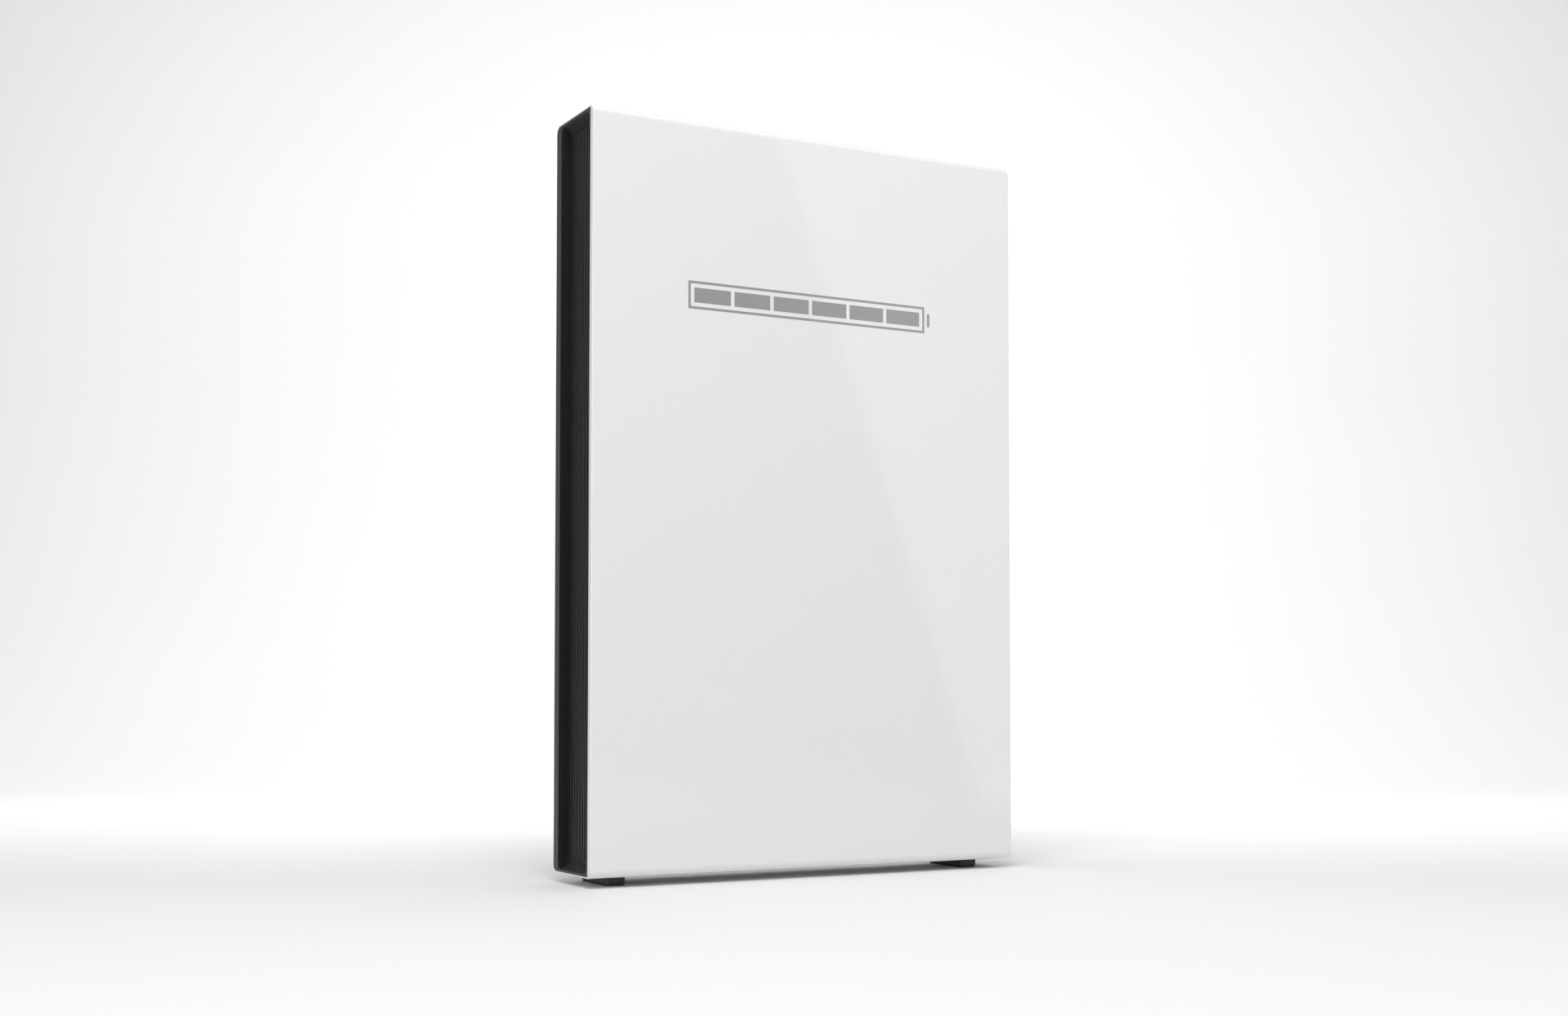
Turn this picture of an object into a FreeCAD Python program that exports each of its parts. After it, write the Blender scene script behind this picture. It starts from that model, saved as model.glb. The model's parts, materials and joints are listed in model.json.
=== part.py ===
import FreeCAD, Part
import math
import operator
import os
import Sketcher

# Wall battery unit: a flat home battery in a folded white cover, standing on two floor bars.
# Frame: X to the right, Y to the back, Z up, origin on the floor under the middle of the unit.
# Millimetres throughout.

PIECES = {}
DOC = FreeCAD.newDocument("WallBattery")
SHEET = DOC.addObject("Spreadsheet::Sheet", "Sizes")
AXES = {"x": FreeCAD.Vector(1, 0, 0), "y": FreeCAD.Vector(0, 1, 0), "z": FreeCAD.Vector(0, 0, 1)}
SIGNS = {"+": operator.add, "-": operator.sub, "*": operator.mul, "/": operator.truediv}
CLOSE = 0.01


class Size:
    """A length worked out from the sheet: its expression and its present number."""

    def __init__(self, text, number):
        self.text = text
        self.number = number

    def __add__(self, other):
        return joined(self, "+", other)

    def __radd__(self, other):
        return joined(other, "+", self)

    def __sub__(self, other):
        return joined(self, "-", other)

    def __rsub__(self, other):
        return joined(other, "-", self)

    def __mul__(self, other):
        return joined(self, "*", other)

    def __rmul__(self, other):
        return joined(other, "*", self)

    def __truediv__(self, other):
        return joined(self, "/", other)

    def __neg__(self):
        return joined(-1, "*", self)


def as_size(value):
    """A plain number as a Size; a Size as it is."""
    return value if isinstance(value, Size) else Size(f"{value}", float(value))


def joined(left, sign, right):
    """Two values put together by one sign."""
    left = as_size(left)
    right = as_size(right)
    return Size(f"({left.text} {sign} {right.text})", SIGNS[sign](left.number, right.number))


def named(alias, number, meaning):
    """Write one driving size to the sheet and return it."""
    named.row += 1
    SHEET.set(f"A{named.row}", meaning)
    SHEET.set(f"B{named.row}", str(number))
    SHEET.setAlias(f"B{named.row}", alias)
    return Size(f"Sizes.{alias}", number)


named.row = 0


# ---------------------------------------------------------------- helpers

def bind(item, prop, size):
    """Bind one property to a size."""
    item.setExpression(prop, as_size(size).text)


def keep(label, item):
    """Name a finished piece, so that it is written out."""
    item.Label = label
    PIECES[label] = item
    return item


def block(name, x, y, z):
    """A plain box between a low and a high size on each axis."""
    item = DOC.addObject("Part::Box", name)
    for prop, axis, (low, high) in zip(("Length", "Width", "Height"), "xyz", (x, y, z)):
        bind(item, prop, as_size(high) - low)
        bind(item, f"Placement.Base.{axis}", low)
    return item


def rod(name, axis, across, radius, along):
    """A cylinder along an axis; across holds its two other coordinates in axis order."""
    item = DOC.addObject("Part::Cylinder", name)
    item.Placement.Rotation = FreeCAD.Rotation(AXES["z"], AXES[axis])
    bind(item, "Radius", radius)
    bind(item, "Height", as_size(along[1]) - along[0])
    places = dict(zip([other for other in "xyz" if other != axis], across))
    places[axis] = along[0]
    for name_of_axis, place in places.items():
        bind(item, f"Placement.Base.{name_of_axis}", place)
    return item


def fuse(name, parts):
    """Several overlapping or touching shapes as one solid."""
    item = DOC.addObject("Part::MultiFuse", name)
    item.Shapes = parts
    item.Refine = True
    return item


def group(name, parts):
    """Several separate solids of one kind as one piece."""
    item = DOC.addObject("Part::Compound", name)
    item.Links = parts
    return item


def cut(name, base, tools):
    """A shape with one or more others taken out of it."""
    item = DOC.addObject("Part::Cut", name)
    item.Base = base
    item.Tool = tools[0] if len(tools) == 1 else fuse(f"{name}_tools", tools)
    return item


def tube(name, axis, across, radius, bore, along):
    """A round tube along an axis."""
    outside = rod(f"{name}_outside", axis, across, radius, along)
    inside = rod(f"{name}_inside", axis, across, bore, (along[0] - 1, along[1] + 1))
    return cut(name, outside, [inside])


def screws(label, axis, points, head, shaft, head_span, shaft_span):
    """One node of equal screws: a round head on a shaft at every point."""
    parts = []
    for number, point in enumerate(points, 1):
        cap = rod(f"{label}_head_{number}", axis, point, head, head_span)
        body = rod(f"{label}_shaft_{number}", axis, point, shaft, shaft_span)
        parts.append(fuse(f"{label}_{number}", [cap, body]))
    return keep(label, group(label, parts))


def hold(sketch, direction, line, end, size):
    """Hold one end of a sketch line at a distance from the origin along U or V."""
    size = as_size(size)
    if abs(size.number) < CLOSE:
        axis = -2 if direction == "DistanceX" else -1
        sketch.addConstraint(Sketcher.Constraint("PointOnObject", line, end, axis))
        return
    index = sketch.addConstraint(Sketcher.Constraint(direction, -1, 1, line, end, size.number))
    bind(sketch, f"Constraints[{index}]", size)


def rectangle(u, v):
    """A drawing of one rectangle between a low and a high size on U and V."""
    def draw(sketch):
        left, right = [as_size(size).number for size in u]
        low, high = [as_size(size).number for size in v]
        ends = [(left, low), (right, low), (right, high), (left, high)]
        ends = [FreeCAD.Vector(across, up, 0) for across, up in ends]
        first = sketch.GeometryCount
        for index in range(4):
            sketch.addGeometry(Part.LineSegment(ends[index], ends[(index + 1) % 4]), False)
        for index in range(4):
            following = first + (index + 1) % 4
            sketch.addConstraint(Sketcher.Constraint("Coincident", first + index, 2, following, 1))
            level = "Horizontal" if index % 2 == 0 else "Vertical"
            sketch.addConstraint(Sketcher.Constraint(level, first + index))
        hold(sketch, "DistanceX", first, 1, u[0])
        hold(sketch, "DistanceY", first, 1, v[0])
        hold(sketch, "DistanceX", first + 1, 2, u[1])
        hold(sketch, "DistanceY", first + 1, 2, v[1])
    return draw


def polygon(points):
    """A drawing of one closed outline of straight lines through the points."""
    def draw(sketch):
        ends = [FreeCAD.Vector(as_size(u).number, as_size(v).number, 0) for u, v in points]
        first = sketch.GeometryCount
        for index, end in enumerate(ends):
            sketch.addGeometry(Part.LineSegment(end, ends[(index + 1) % len(ends)]), False)
        for index, (u, v) in enumerate(points):
            following = first + (index + 1) % len(ends)
            sketch.addConstraint(Sketcher.Constraint("Coincident", first + index, 2, following, 1))
            hold(sketch, "DistanceX", first + index, 1, u)
            hold(sketch, "DistanceY", first + index, 1, v)
    return draw


def circles(points, radius):
    """A drawing of equal circles."""
    def draw(sketch):
        size = as_size(radius)
        for u, v in points:
            centre = FreeCAD.Vector(as_size(u).number, as_size(v).number, 0)
            ring = sketch.addGeometry(Part.Circle(centre, AXES["z"], size.number), False)
            hold(sketch, "DistanceX", ring, 3, u)
            hold(sketch, "DistanceY", ring, 3, v)
            index = sketch.addConstraint(Sketcher.Constraint("Radius", ring, size.number))
            bind(sketch, f"Constraints[{index}]", size)
    return draw


def several(drawings):
    """Several drawings in one sketch."""
    def draw(sketch):
        for drawing in drawings:
            drawing(sketch)
    return draw


def cove(beyond, face, crest, low, high, rise):
    """A recess outline that opens to -U at face and coves out to it at both ends."""
    def draw(sketch):
        reach = crest.number - face.number
        radius = (reach ** 2 + rise.number ** 2) / (2 * reach)
        turn = math.asin(rise.number / radius)
        centre = crest.number - radius
        foot = (low + rise).number
        head = (high - rise).number
        ends = [(face.number, high.number), (beyond.number, high.number),
                (beyond.number, low.number), (face.number, low.number)]
        ends = [FreeCAD.Vector(u, v, 0) for u, v in ends]
        for start, end in zip(ends, ends[1:]):
            sketch.addGeometry(Part.LineSegment(start, end), False)
        low_circle = Part.Circle(FreeCAD.Vector(centre, foot, 0), AXES["z"], radius)
        high_circle = Part.Circle(FreeCAD.Vector(centre, head, 0), AXES["z"], radius)
        sketch.addGeometry(Part.ArcOfCircle(low_circle, -turn, 0), False)
        ends = [FreeCAD.Vector(crest.number, level, 0) for level in (foot, head)]
        sketch.addGeometry(Part.LineSegment(*ends), False)
        sketch.addGeometry(Part.ArcOfCircle(high_circle, 0, turn), False)
        for index, (line, end, other, start) in enumerate(
                [(0, 2, 1, 1), (1, 2, 2, 1), (2, 2, 3, 1), (3, 2, 4, 1), (4, 2, 5, 1), (5, 2, 0, 1)]):
            sketch.addConstraint(Sketcher.Constraint("Coincident", line, end, other, start))
        sketch.addConstraint(Sketcher.Constraint("Horizontal", 3, 3, 3, 2))
        sketch.addConstraint(Sketcher.Constraint("Horizontal", 5, 3, 5, 1))
        for line, u, v in ((0, face, high), (1, beyond, high), (2, beyond, low), (3, face, low)):
            hold(sketch, "DistanceX", line, 1, u)
            hold(sketch, "DistanceY", line, 1, v)
        hold(sketch, "DistanceX", 4, 1, crest)
        hold(sketch, "DistanceY", 4, 1, low + rise)
        hold(sketch, "DistanceX", 4, 2, crest)
        hold(sketch, "DistanceY", 4, 2, high - rise)
    return draw


class Design:
    """A PartDesign body, built feature by feature on its own origin planes."""

    def __init__(self, label):
        self.body = DOC.addObject("PartDesign::Body", label)
        self.label = label
        self.steps = 0

    def feature(self, kind):
        """Add one feature of a kind to the body."""
        self.steps += 1
        return self.body.newObject(f"PartDesign::{kind}", f"{self.label}_{kind}_{self.steps}")

    def sketch(self, plane, level, draw):
        """Draw on an origin plane, moved along its normal to a level."""
        self.steps += 1
        sketch = self.body.newObject("Sketcher::SketchObject", f"{self.label}_sketch_{self.steps}")
        origin = self.body.Origin.OriginFeatures
        sketch.AttachmentSupport = (next(item for item in origin if item.Role == f"{plane}_Plane"), [""])
        sketch.MapMode = "FlatFace"
        bind(sketch, "AttachmentOffset.Base.z", level)
        draw(sketch)
        sketch.Visibility = False
        return sketch

    def pad(self, plane, span, draw):
        """Add material between two levels along the plane's world axis."""
        low, high = [as_size(size) for size in span]
        profile = self.sketch(plane, -high if plane == "XZ" else low, draw)
        pad = self.feature("Pad")
        pad.Profile = profile
        bind(pad, "Length", high - low)
        return pad

    def pocket(self, plane, span, draw):
        """Take material away between two levels along the plane's world axis."""
        low, high = [as_size(size) for size in span]
        profile = self.sketch(plane, -low if plane == "XZ" else high, draw)
        pocket = self.feature("Pocket")
        pocket.Profile = profile
        bind(pocket, "Length", high - low)
        return pocket

    def row(self, originals, axis, pitch, count):
        """Repeat features along an origin axis."""
        pattern = self.feature("LinearPattern")
        pattern.Originals = originals
        origin = self.body.Origin.OriginFeatures
        pattern.Direction = (next(item for item in origin if item.Role == f"{axis}_Axis"), [""])
        bind(pattern, "Length", pitch * (count - 1))
        pattern.Occurrences = count
        self.body.Tip = pattern
        return pattern

    def ring(self, originals, axis, count):
        """Repeat features around an origin axis, over a full turn."""
        pattern = self.feature("PolarPattern")
        pattern.Originals = originals
        origin = self.body.Origin.OriginFeatures
        pattern.Axis = (next(item for item in origin if item.Role == f"{axis}_Axis"), [""])
        pattern.Angle = 360
        pattern.Occurrences = count
        self.body.Tip = pattern
        return pattern

    def fillet(self, radius, along, length=None, **places):
        """Round the straight edges along an axis that lie at the given places."""
        DOC.recompute()
        base = self.body.Tip
        names = []
        for number, edge in enumerate(base.Shape.Edges, 1):
            box = edge.BoundBox
            spans = {"X": box.XLength, "Y": box.YLength, "Z": box.ZLength}
            straight = all(span < CLOSE for axis, span in spans.items() if axis != along)
            placed = all(abs(getattr(box.Center, axis.lower()) - as_size(place).number) < CLOSE
                         for axis, place in places.items())
            right_length = length is None or abs(spans[along] - as_size(length).number) < CLOSE
            if straight and placed and right_length:
                names.append(f"Edge{number}")
        fillet = self.feature("Fillet")
        fillet.Base = (base, names)
        bind(fillet, "Radius", radius)
        return fillet

    def done(self):
        """Name the body as a finished piece."""
        return keep(self.label, self.body)


# ---------------------------------------------------------------- driving sizes

overall_width = named("overall_width", 753, "width over both side panels")
overall_depth = named("overall_depth", 147, "cover face to the cleats' rear faces")
body_height = named("body_height", 1150, "cover underside to cover top")
foot_height = named("foot_height", 15, "floor to cover underside")

cover_wall = named("cover_wall", 2.5, "cover sheet thickness")
cover_radius = named("cover_radius", 12, "fold radius at the cover's top and bottom")
cover_edge_radius = named("cover_edge_radius", 1.6, "rounding of the cover's side edges")
cover_setback = named("cover_setback", 5.5, "housing back to the cover's rear edge")
lip_depth = named("lip_depth", 10, "turned side lip of the cover")
slide_gap = named("slide_gap", 0.3, "gap between the cover and what it slides over")
stud_radius = named("stud_radius", 3, "cover stud")
stud_length = named("stud_length", 6, "how far a cover stud reaches into its socket")
stud_head = named("stud_head", 1, "thickness of the stud's welded head")
stud_inset = named("stud_inset", 11.5, "side of the unit to a cover stud")
socket_width = named("socket_width", 13, "side of a cover socket")
emblem_drop = named("emblem_drop", 271, "unit top to the emblem's middle")
emblem_width = named("emblem_width", 437, "emblem length over its terminal")
emblem_height = named("emblem_height", 43, "emblem height")
emblem_line = named("emblem_line", 4, "width of the emblem's outline")
emblem_gap = named("emblem_gap", 6, "gap around and between the emblem's bars")
emblem_depth = named("emblem_depth", 0.6, "how deep the emblem is let in")
emblem_radius = named("emblem_radius", 2, "rounding of the emblem's corners")

housing_wall = named("housing_wall", 3, "rear housing plate")
rear_radius = named("rear_radius", 10, "rear edges of the unit")
flange_depth = named("flange_depth", 110, "top and bottom flanges of the rear housing")
panel_thickness = named("panel_thickness", 20, "side panel, across the unit")
panel_corner = named("panel_corner", 3, "front corners of a side panel")
rear_rim = named("rear_rim", 18, "flat rear rim of a side panel")
rim_wall = named("rim_wall", 3, "other rims of a side panel")
step_depth = named("step_depth", 2.8, "drop of each step of the side dish")
ledge_width = named("ledge_width", 3.6, "first ledge of the side dish")
step_width = named("step_width", 1.6, "every further ledge of the side dish")
fin_depth = named("fin_depth", 6, "height of a side fin above its groove")
fin_pitch = named("fin_pitch", 6.5, "from one side fin to the next")
groove_width = named("groove_width", 3.7, "groove between two side fins")
louvre_width = named("louvre_width", 2.5, "air slot at the bottom of a groove")
louvre_bridge = named("louvre_bridge", 14, "web between two air slots")
cove_rise = named("cove_rise", 24, "length of the swept ends of the side fins")
window_drop = named("window_drop", 260.4, "unit top to the lowest status window")
window_length = named("window_length", 45.5, "one status window")
window_bridge = named("window_bridge", 6, "web between two status windows")
window_width = named("window_width", 3, "status window across the ledge")
window_gap = named("window_gap", 0.2, "clearance of the light guide in a window")
guide_back = named("guide_back", 4, "thickness of the light guide's spine")
guide_margin = named("guide_margin", 5, "spine beyond the windows")
board_thickness = named("board_thickness", 1.6, "every circuit board")

foot_inset = named("foot_inset", 59, "side of the unit to the middle of a foot")
foot_width = named("foot_width", 31.5, "foot bar, across the unit")
foot_front = named("foot_front", 37.7, "cover face to the front of a foot")
foot_setback = named("foot_setback", 3, "housing back to the rear of a foot")
foot_radius = named("foot_radius", 6, "corners of a foot")
pad_height = named("pad_height", 3, "rubber pad under a foot")
pad_inset = named("pad_inset", 1.5, "foot edge to pad edge")
neck_width = named("neck_width", 12, "neck that carries the housing on a foot")
neck_setback = named("neck_setback", 14, "housing's front edge to the neck")
neck_length = named("neck_length", 84, "neck of a foot, front to back")
neck_gap = named("neck_gap", 1, "cover slot around the neck")
bolt_radius = named("bolt_radius", 3, "foot bolt")
bolt_head = named("bolt_head", 5.5, "foot bolt head radius")
bolt_gap = named("bolt_gap", 0.2, "clearance around every fastener")
bolt_spacing = named("bolt_spacing", 56, "between the two bolts of a foot")

cleat_depth = named("cleat_depth", 6, "hanging cleat, standing off the back")
cleat_width = named("cleat_width", 420, "length of a hanging cleat")
cleat_height = named("cleat_height", 52, "height of a hanging cleat")
cleat_root = named("cleat_root", 22, "part of a cleat that lies on the housing")
upper_cleat_drop = named("upper_cleat_drop", 155, "unit top to the upper cleat's lower edge")
lower_cleat_level = named("lower_cleat_level", 260, "floor to the lower cleat's lower edge")
insert_radius = named("insert_radius", 8, "threaded insert, outside")
insert_bore = named("insert_bore", 4, "threaded insert, inside")
insert_length = named("insert_length", 13, "threaded insert, front to back")
insert_inset = named("insert_inset", 51.5, "side of the unit to a threaded insert")
insert_low = named("insert_low", 165, "floor to the lower inserts")
insert_drop = named("insert_drop", 100, "unit top to the upper inserts")

plenum_width = named("plenum_width", 65, "air space between a side panel and the battery")
tray_depth = named("tray_depth", 84.5, "battery tray, front to back")
inverter_height = named("inverter_height", 388.4, "inverter case height")
tray_wall = named("tray_wall", 2.5, "battery tray sheet")
tray_lip = named("tray_lip", 12, "lip that takes the lid screws")
seat_radius = named("seat_radius", 8, "rear edges of the boxes inside the housing")
gasket_thickness = named("gasket_thickness", 1.5, "lid gasket")
lid_screw = named("lid_screw", 1.9, "lid screw radius")
lid_screw_head = named("lid_screw_head", 4, "lid screw head radius")
screw_head_height = named("screw_head_height", 2, "height of every small screw head")
plate_thickness = named("plate_thickness", 12, "coolant plate")
port_radius = named("port_radius", 5.5, "every coolant pipe, outside")
port_bore = named("port_bore", 4, "every coolant pipe, inside")
port_inset = named("port_inset", 60, "tray end to a coolant port")
fitting_length = named("fitting_length", 12, "coolant fitting outside the tray")
module_gap = named("module_gap", 6, "between the two battery modules")
module_play = named("module_play", 3, "around the modules inside the tray lip")
module_wall = named("module_wall", 2, "module tray and cover sheet")
module_room = named("module_room", 16, "module tray's mouth to the battery tray's front")
brick_gap = named("brick_gap", 0.8, "between two cell bricks")
busbar_thickness = named("busbar_thickness", 2, "copper busbar")
busbar_width = named("busbar_width", 22, "copper busbar width")

bay_gap = named("bay_gap", 6, "between the boxes inside the housing")
top_gap = named("top_gap", 4, "inverter case to the top flange")
inverter_width = named("inverter_width", 400, "inverter case, across the unit")
case_wall = named("case_wall", 3, "inverter case wall")
boss_height = named("boss_height", 9.5, "inverter case wall to the board")
boss_radius = named("boss_radius", 4, "board boss")
board_margin = named("board_margin", 8, "inverter board to the case wall")
sink_plate = named("sink_plate", 4, "heat sink base")
sink_fin = named("sink_fin", 22, "heat sink fin height")
sink_pitch = named("sink_pitch", 12, "from one heat sink fin to the next")
sink_fin_wall = named("sink_fin_wall", 2.2, "heat sink fin thickness")
capacitor_radius = named("capacitor_radius", 12.5, "bus capacitor")
capacitor_length = named("capacitor_length", 40, "bus capacitor")
capacitor_pitch = named("capacitor_pitch", 32, "from one bus capacitor to the next")
capacitor_inset = named("capacitor_inset", 92, "case side to the first bus capacitor")
capacitor_drop = named("capacitor_drop", 70, "case top to the bus capacitors")
inductor_radius = named("inductor_radius", 34, "power inductor, outside")
inductor_bore = named("inductor_bore", 14, "power inductor, inside")
inductor_length = named("inductor_length", 24, "power inductor along its axis")
inductor_pitch = named("inductor_pitch", 90, "case side to an inductor, and on to the next")
inductor_rise = named("inductor_rise", 90, "case bottom to the inductors")
transistor_side = named("transistor_side", 18, "power transistor across the board")
transistor_height = named("transistor_height", 22, "power transistor up the board")
transistor_depth = named("transistor_depth", 6, "power transistor off the board")
transistor_pitch = named("transistor_pitch", 36, "from one power transistor to the next")
transistor_inset = named("transistor_inset", 76, "case side to the first power transistor")
transistor_drop = named("transistor_drop", 148, "case top to the power transistors")
fuse_inset = named("fuse_inset", 50, "case side to the fuse holder")
fuse_rise = named("fuse_rise", 60, "case bottom to the fuse holder")
fuse_length = named("fuse_length", 100, "fuse holder length")
fuse_height = named("fuse_height", 30, "fuse holder up the board")
fuse_base = named("fuse_base", 8, "fuse holder off the board")
fuse_radius = named("fuse_radius", 11, "fuse link radius")
fuse_end = named("fuse_end", 10, "fuse holder beyond its link")

wiring_depth = named("wiring_depth", 95, "wiring box, front to back")
wiring_height = named("wiring_height", 300, "wiring box height")
wiring_wall = named("wiring_wall", 2.5, "wiring box wall and cover")
wiring_post = named("wiring_post", 4.5, "corner post radius")
conduit_bore = named("conduit_bore", 13, "rear conduit hub, inside")
conduit_radius = named("conduit_radius", 18, "rear conduit hub, outside")
conduit_drop = named("conduit_drop", 60, "top of the wiring box to the conduit")
conduit_flange = named("conduit_flange", 4, "hub flange inside the box")
terminal_inset = named("terminal_inset", 24, "wiring box side to the terminal block")
terminal_rise = named("terminal_rise", 70, "wiring box bottom to the terminal block")
terminal_depth = named("terminal_depth", 34, "terminal block, front to back")
terminal_height = named("terminal_height", 30, "terminal block height")
terminal_pitch = named("terminal_pitch", 18, "from one wire entry to the next")
entry_radius = named("entry_radius", 5, "wire entry of a terminal")
entry_rise = named("entry_rise", 9, "terminal block's foot to its wire entries")
entry_depth = named("entry_depth", 20, "depth of a wire entry")
clamp_radius = named("clamp_radius", 3, "clamp screw well of a terminal")
clamp_rise = named("clamp_rise", 22, "terminal block's foot to its clamp screws")
clamp_depth = named("clamp_depth", 14, "depth of a clamp screw well")

radiator_thickness = named("radiator_thickness", 36, "radiator, across the unit")
radiator_front = named("radiator_front", 58, "middle plane to the radiator's front")
radiator_rear = named("radiator_rear", 62, "middle plane to the radiator's rear")
radiator_tank = named("radiator_tank", 40, "height of a radiator tank")
core_inset = named("core_inset", 5, "radiator core inside its tanks")
core_slot = named("core_slot", 8, "air slot between two radiator tubes")
core_pitch = named("core_pitch", 12, "from one radiator tube to the next")
pump_drop = named("pump_drop", 360.8, "battery tray's top to the pump and the lower tank")
pump_inset = named("pump_inset", 66.5, "side of the battery tray to the pump")
pump_front = named("pump_front", 60, "middle plane to the pump's front joint")
pump_radius = named("pump_radius", 32, "pump body")
pump_cavity = named("pump_cavity", 24, "pump chamber radius")
pump_chamber = named("pump_chamber", 16, "pump chamber, front to back")
pump_cap_height = named("pump_cap_height", 4, "pump cap")
pump_port = named("pump_port", 40, "pump axis to the end of a port")
pump_port_radius = named("pump_port_radius", 8, "pump port, outside")
pump_post = named("pump_post", 3, "impeller post radius")
running_gap = named("running_gap", 0.05, "radial clearance of every shaft")
impeller_radius = named("impeller_radius", 22, "impeller")
pipe_level = named("pipe_level", 50, "middle plane to the front pipe run")
pipe_bend = named("pipe_bend", 18, "bend radius of the supply pipe")
pipe_inset = named("pipe_inset", 26.5, "side panel to the side pipe run")
reservoir_width = named("reservoir_width", 100, "reservoir width")
reservoir_height = named("reservoir_height", 130, "reservoir height")
reservoir_rise = named("reservoir_rise", 70, "pump axis to the reservoir")
reservoir_depth = named("reservoir_depth", 40, "reservoir, front to back")
reservoir_radius = named("reservoir_radius", 8, "reservoir corners")
tank_bore = named("tank_bore", 12, "depth of a pipe's seat in a radiator tank")
filler_depth = named("filler_depth", 30, "depth of the filler bore in the reservoir")
cap_radius = named("cap_radius", 14, "reservoir cap radius")
cap_height = named("cap_height", 14, "reservoir cap height")

fan_side = named("fan_side", 120, "side of a fan frame")
fan_depth = named("fan_depth", 25, "fan frame, along its axis")
fan_opening = named("fan_opening", 57, "radius of a fan frame's opening")
fan_tip = named("fan_tip", 55, "fan blade tip radius")
fan_hub = named("fan_hub", 19, "fan hub radius")
fan_strut = named("fan_strut", 4, "thickness of the motor plate and struts")
fan_end_gap = named("fan_end_gap", 1, "fan hub to the motor plate")
fan_shaft = named("fan_shaft", 2.5, "fan shaft radius")
fan_wall = named("fan_wall", 2, "fan blade thickness")
fan_run = named("fan_run", 18, "fan blade across its pitch")
fan_rise = named("fan_rise", 14, "fan blade along the axis")
fan_drop = named("fan_drop", 120.8, "battery tray's top to the upper fan's axis")
fan_gap = named("fan_gap", 20, "between the two fans")

switch_drop = named("switch_drop", 180, "unit top to the power switch")
switch_width = named("switch_width", 12, "switch body across the rim")
switch_height = named("switch_height", 26.4, "switch body height")
switch_depth = named("switch_depth", 24, "rim face to the back of the switch")
bezel_margin = named("bezel_margin", 1.5, "bezel beyond the switch body")
bezel_depth = named("bezel_depth", 1.6, "switch bezel")
bezel_recess = named("bezel_recess", 2, "recess that the bezel sits in")
switch_gap = named("switch_gap", 0.2, "clearance around the switch")
rocker_width = named("rocker_width", 9, "rocker across the rim")
rocker_half = named("rocker_half", 10, "rocker pivot to its end")
rocker_room = named("rocker_room", 11.7, "rocker pivot to the well's end")
rocker_setback = named("rocker_setback", 9.4, "rim face to the rocker pivot")
rocker_throw = named("rocker_throw", 16, "full swing of the rocker, degrees")
rocker_pin = named("rocker_pin", 1.5, "rocker pin radius")

# ---------------------------------------------------------------- places that follow

half_width = overall_width / 2
base = foot_height
top = foot_height + body_height
front = -(overall_depth / 2)
rear = overall_depth / 2 - cleat_depth
cover_rear = rear - cover_setback
cover_inside = front + cover_wall
chassis_bottom = base + cover_wall + slide_gap
chassis_top = top - cover_wall - slide_gap
panel_front = front + lip_depth + slide_gap
panel_inner = half_width - panel_thickness
back_plate = rear - housing_wall
inner_bottom = chassis_bottom + housing_wall
inner_top = chassis_top - housing_wall
housing_front = rear - flange_depth
dish_rear = rear - rear_rim
tray_half = panel_inner - plenum_width
tray_front = back_plate - tray_depth
case_top = inner_top - top_gap
case_bottom = case_top - inverter_height
tray_top = case_bottom - bay_gap
lid_back = tray_front - gasket_thickness
lid_front = lid_back - tray_wall
plate_front = back_plate - tray_wall - plate_thickness
port_level = back_plate - tray_wall - plate_thickness / 2
module_depth = tray_depth - tray_wall - plate_thickness - module_room
fitting_end = tray_half + fitting_length
port_heights = (inner_bottom + port_inset, tray_top - port_inset)
neck_front = housing_front + neck_setback
neck_rear = neck_front + neck_length
foot_start = front + foot_front
foot_end = rear - foot_setback
foot_top = base - slide_gap
foot_place = half_width - foot_inset
emblem_level = top - emblem_drop
window_level = top - window_drop
switch_level = top - switch_drop
upper_cleat_level = top - upper_cleat_drop
insert_place = half_width - insert_inset
insert_high = top - insert_drop
pump_level = tray_top - pump_drop
pump_place = tray_half - pump_inset
pipe_out = panel_inner - pipe_inset
fan_high = tray_top - fan_drop
fan_low = fan_high - fan_side - fan_gap
neck_middle = neck_front + neck_length / 2
bolt_places = [neck_middle - bolt_spacing / 2, neck_middle + bolt_spacing / 2]
insert_points = [(insert_place * side, level) for side in (-1, 1) for level in (insert_low, insert_high)]


# ---------------------------------------------------------------- cover

def emblem_drawing():
    """A long battery sign: an outline with six bars and a terminal, and no lettering."""
    nub = emblem_gap + emblem_line
    left, right = -(emblem_width / 2), emblem_width / 2 - nub
    low, high = emblem_level - emblem_height / 2, emblem_level + emblem_height / 2
    inner_left, inner_right = left + emblem_line, right - emblem_line
    inner_low, inner_high = low + emblem_line, high - emblem_line
    bars = 6
    pitch = (inner_right - inner_left - emblem_gap) / bars
    shapes = [rectangle((left, right), (low, high)),
              rectangle((inner_left, inner_right), (inner_low, inner_high)),
              rectangle((right + nub / 2, right + nub),
                        (low + emblem_height / 4, high - emblem_height / 4))]
    for index in range(bars):
        start = inner_left + emblem_gap + pitch * index
        shapes.append(rectangle((start, start + pitch - emblem_gap),
                                (inner_low + emblem_gap, inner_high - emblem_gap)))
    return several(shapes)


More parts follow.
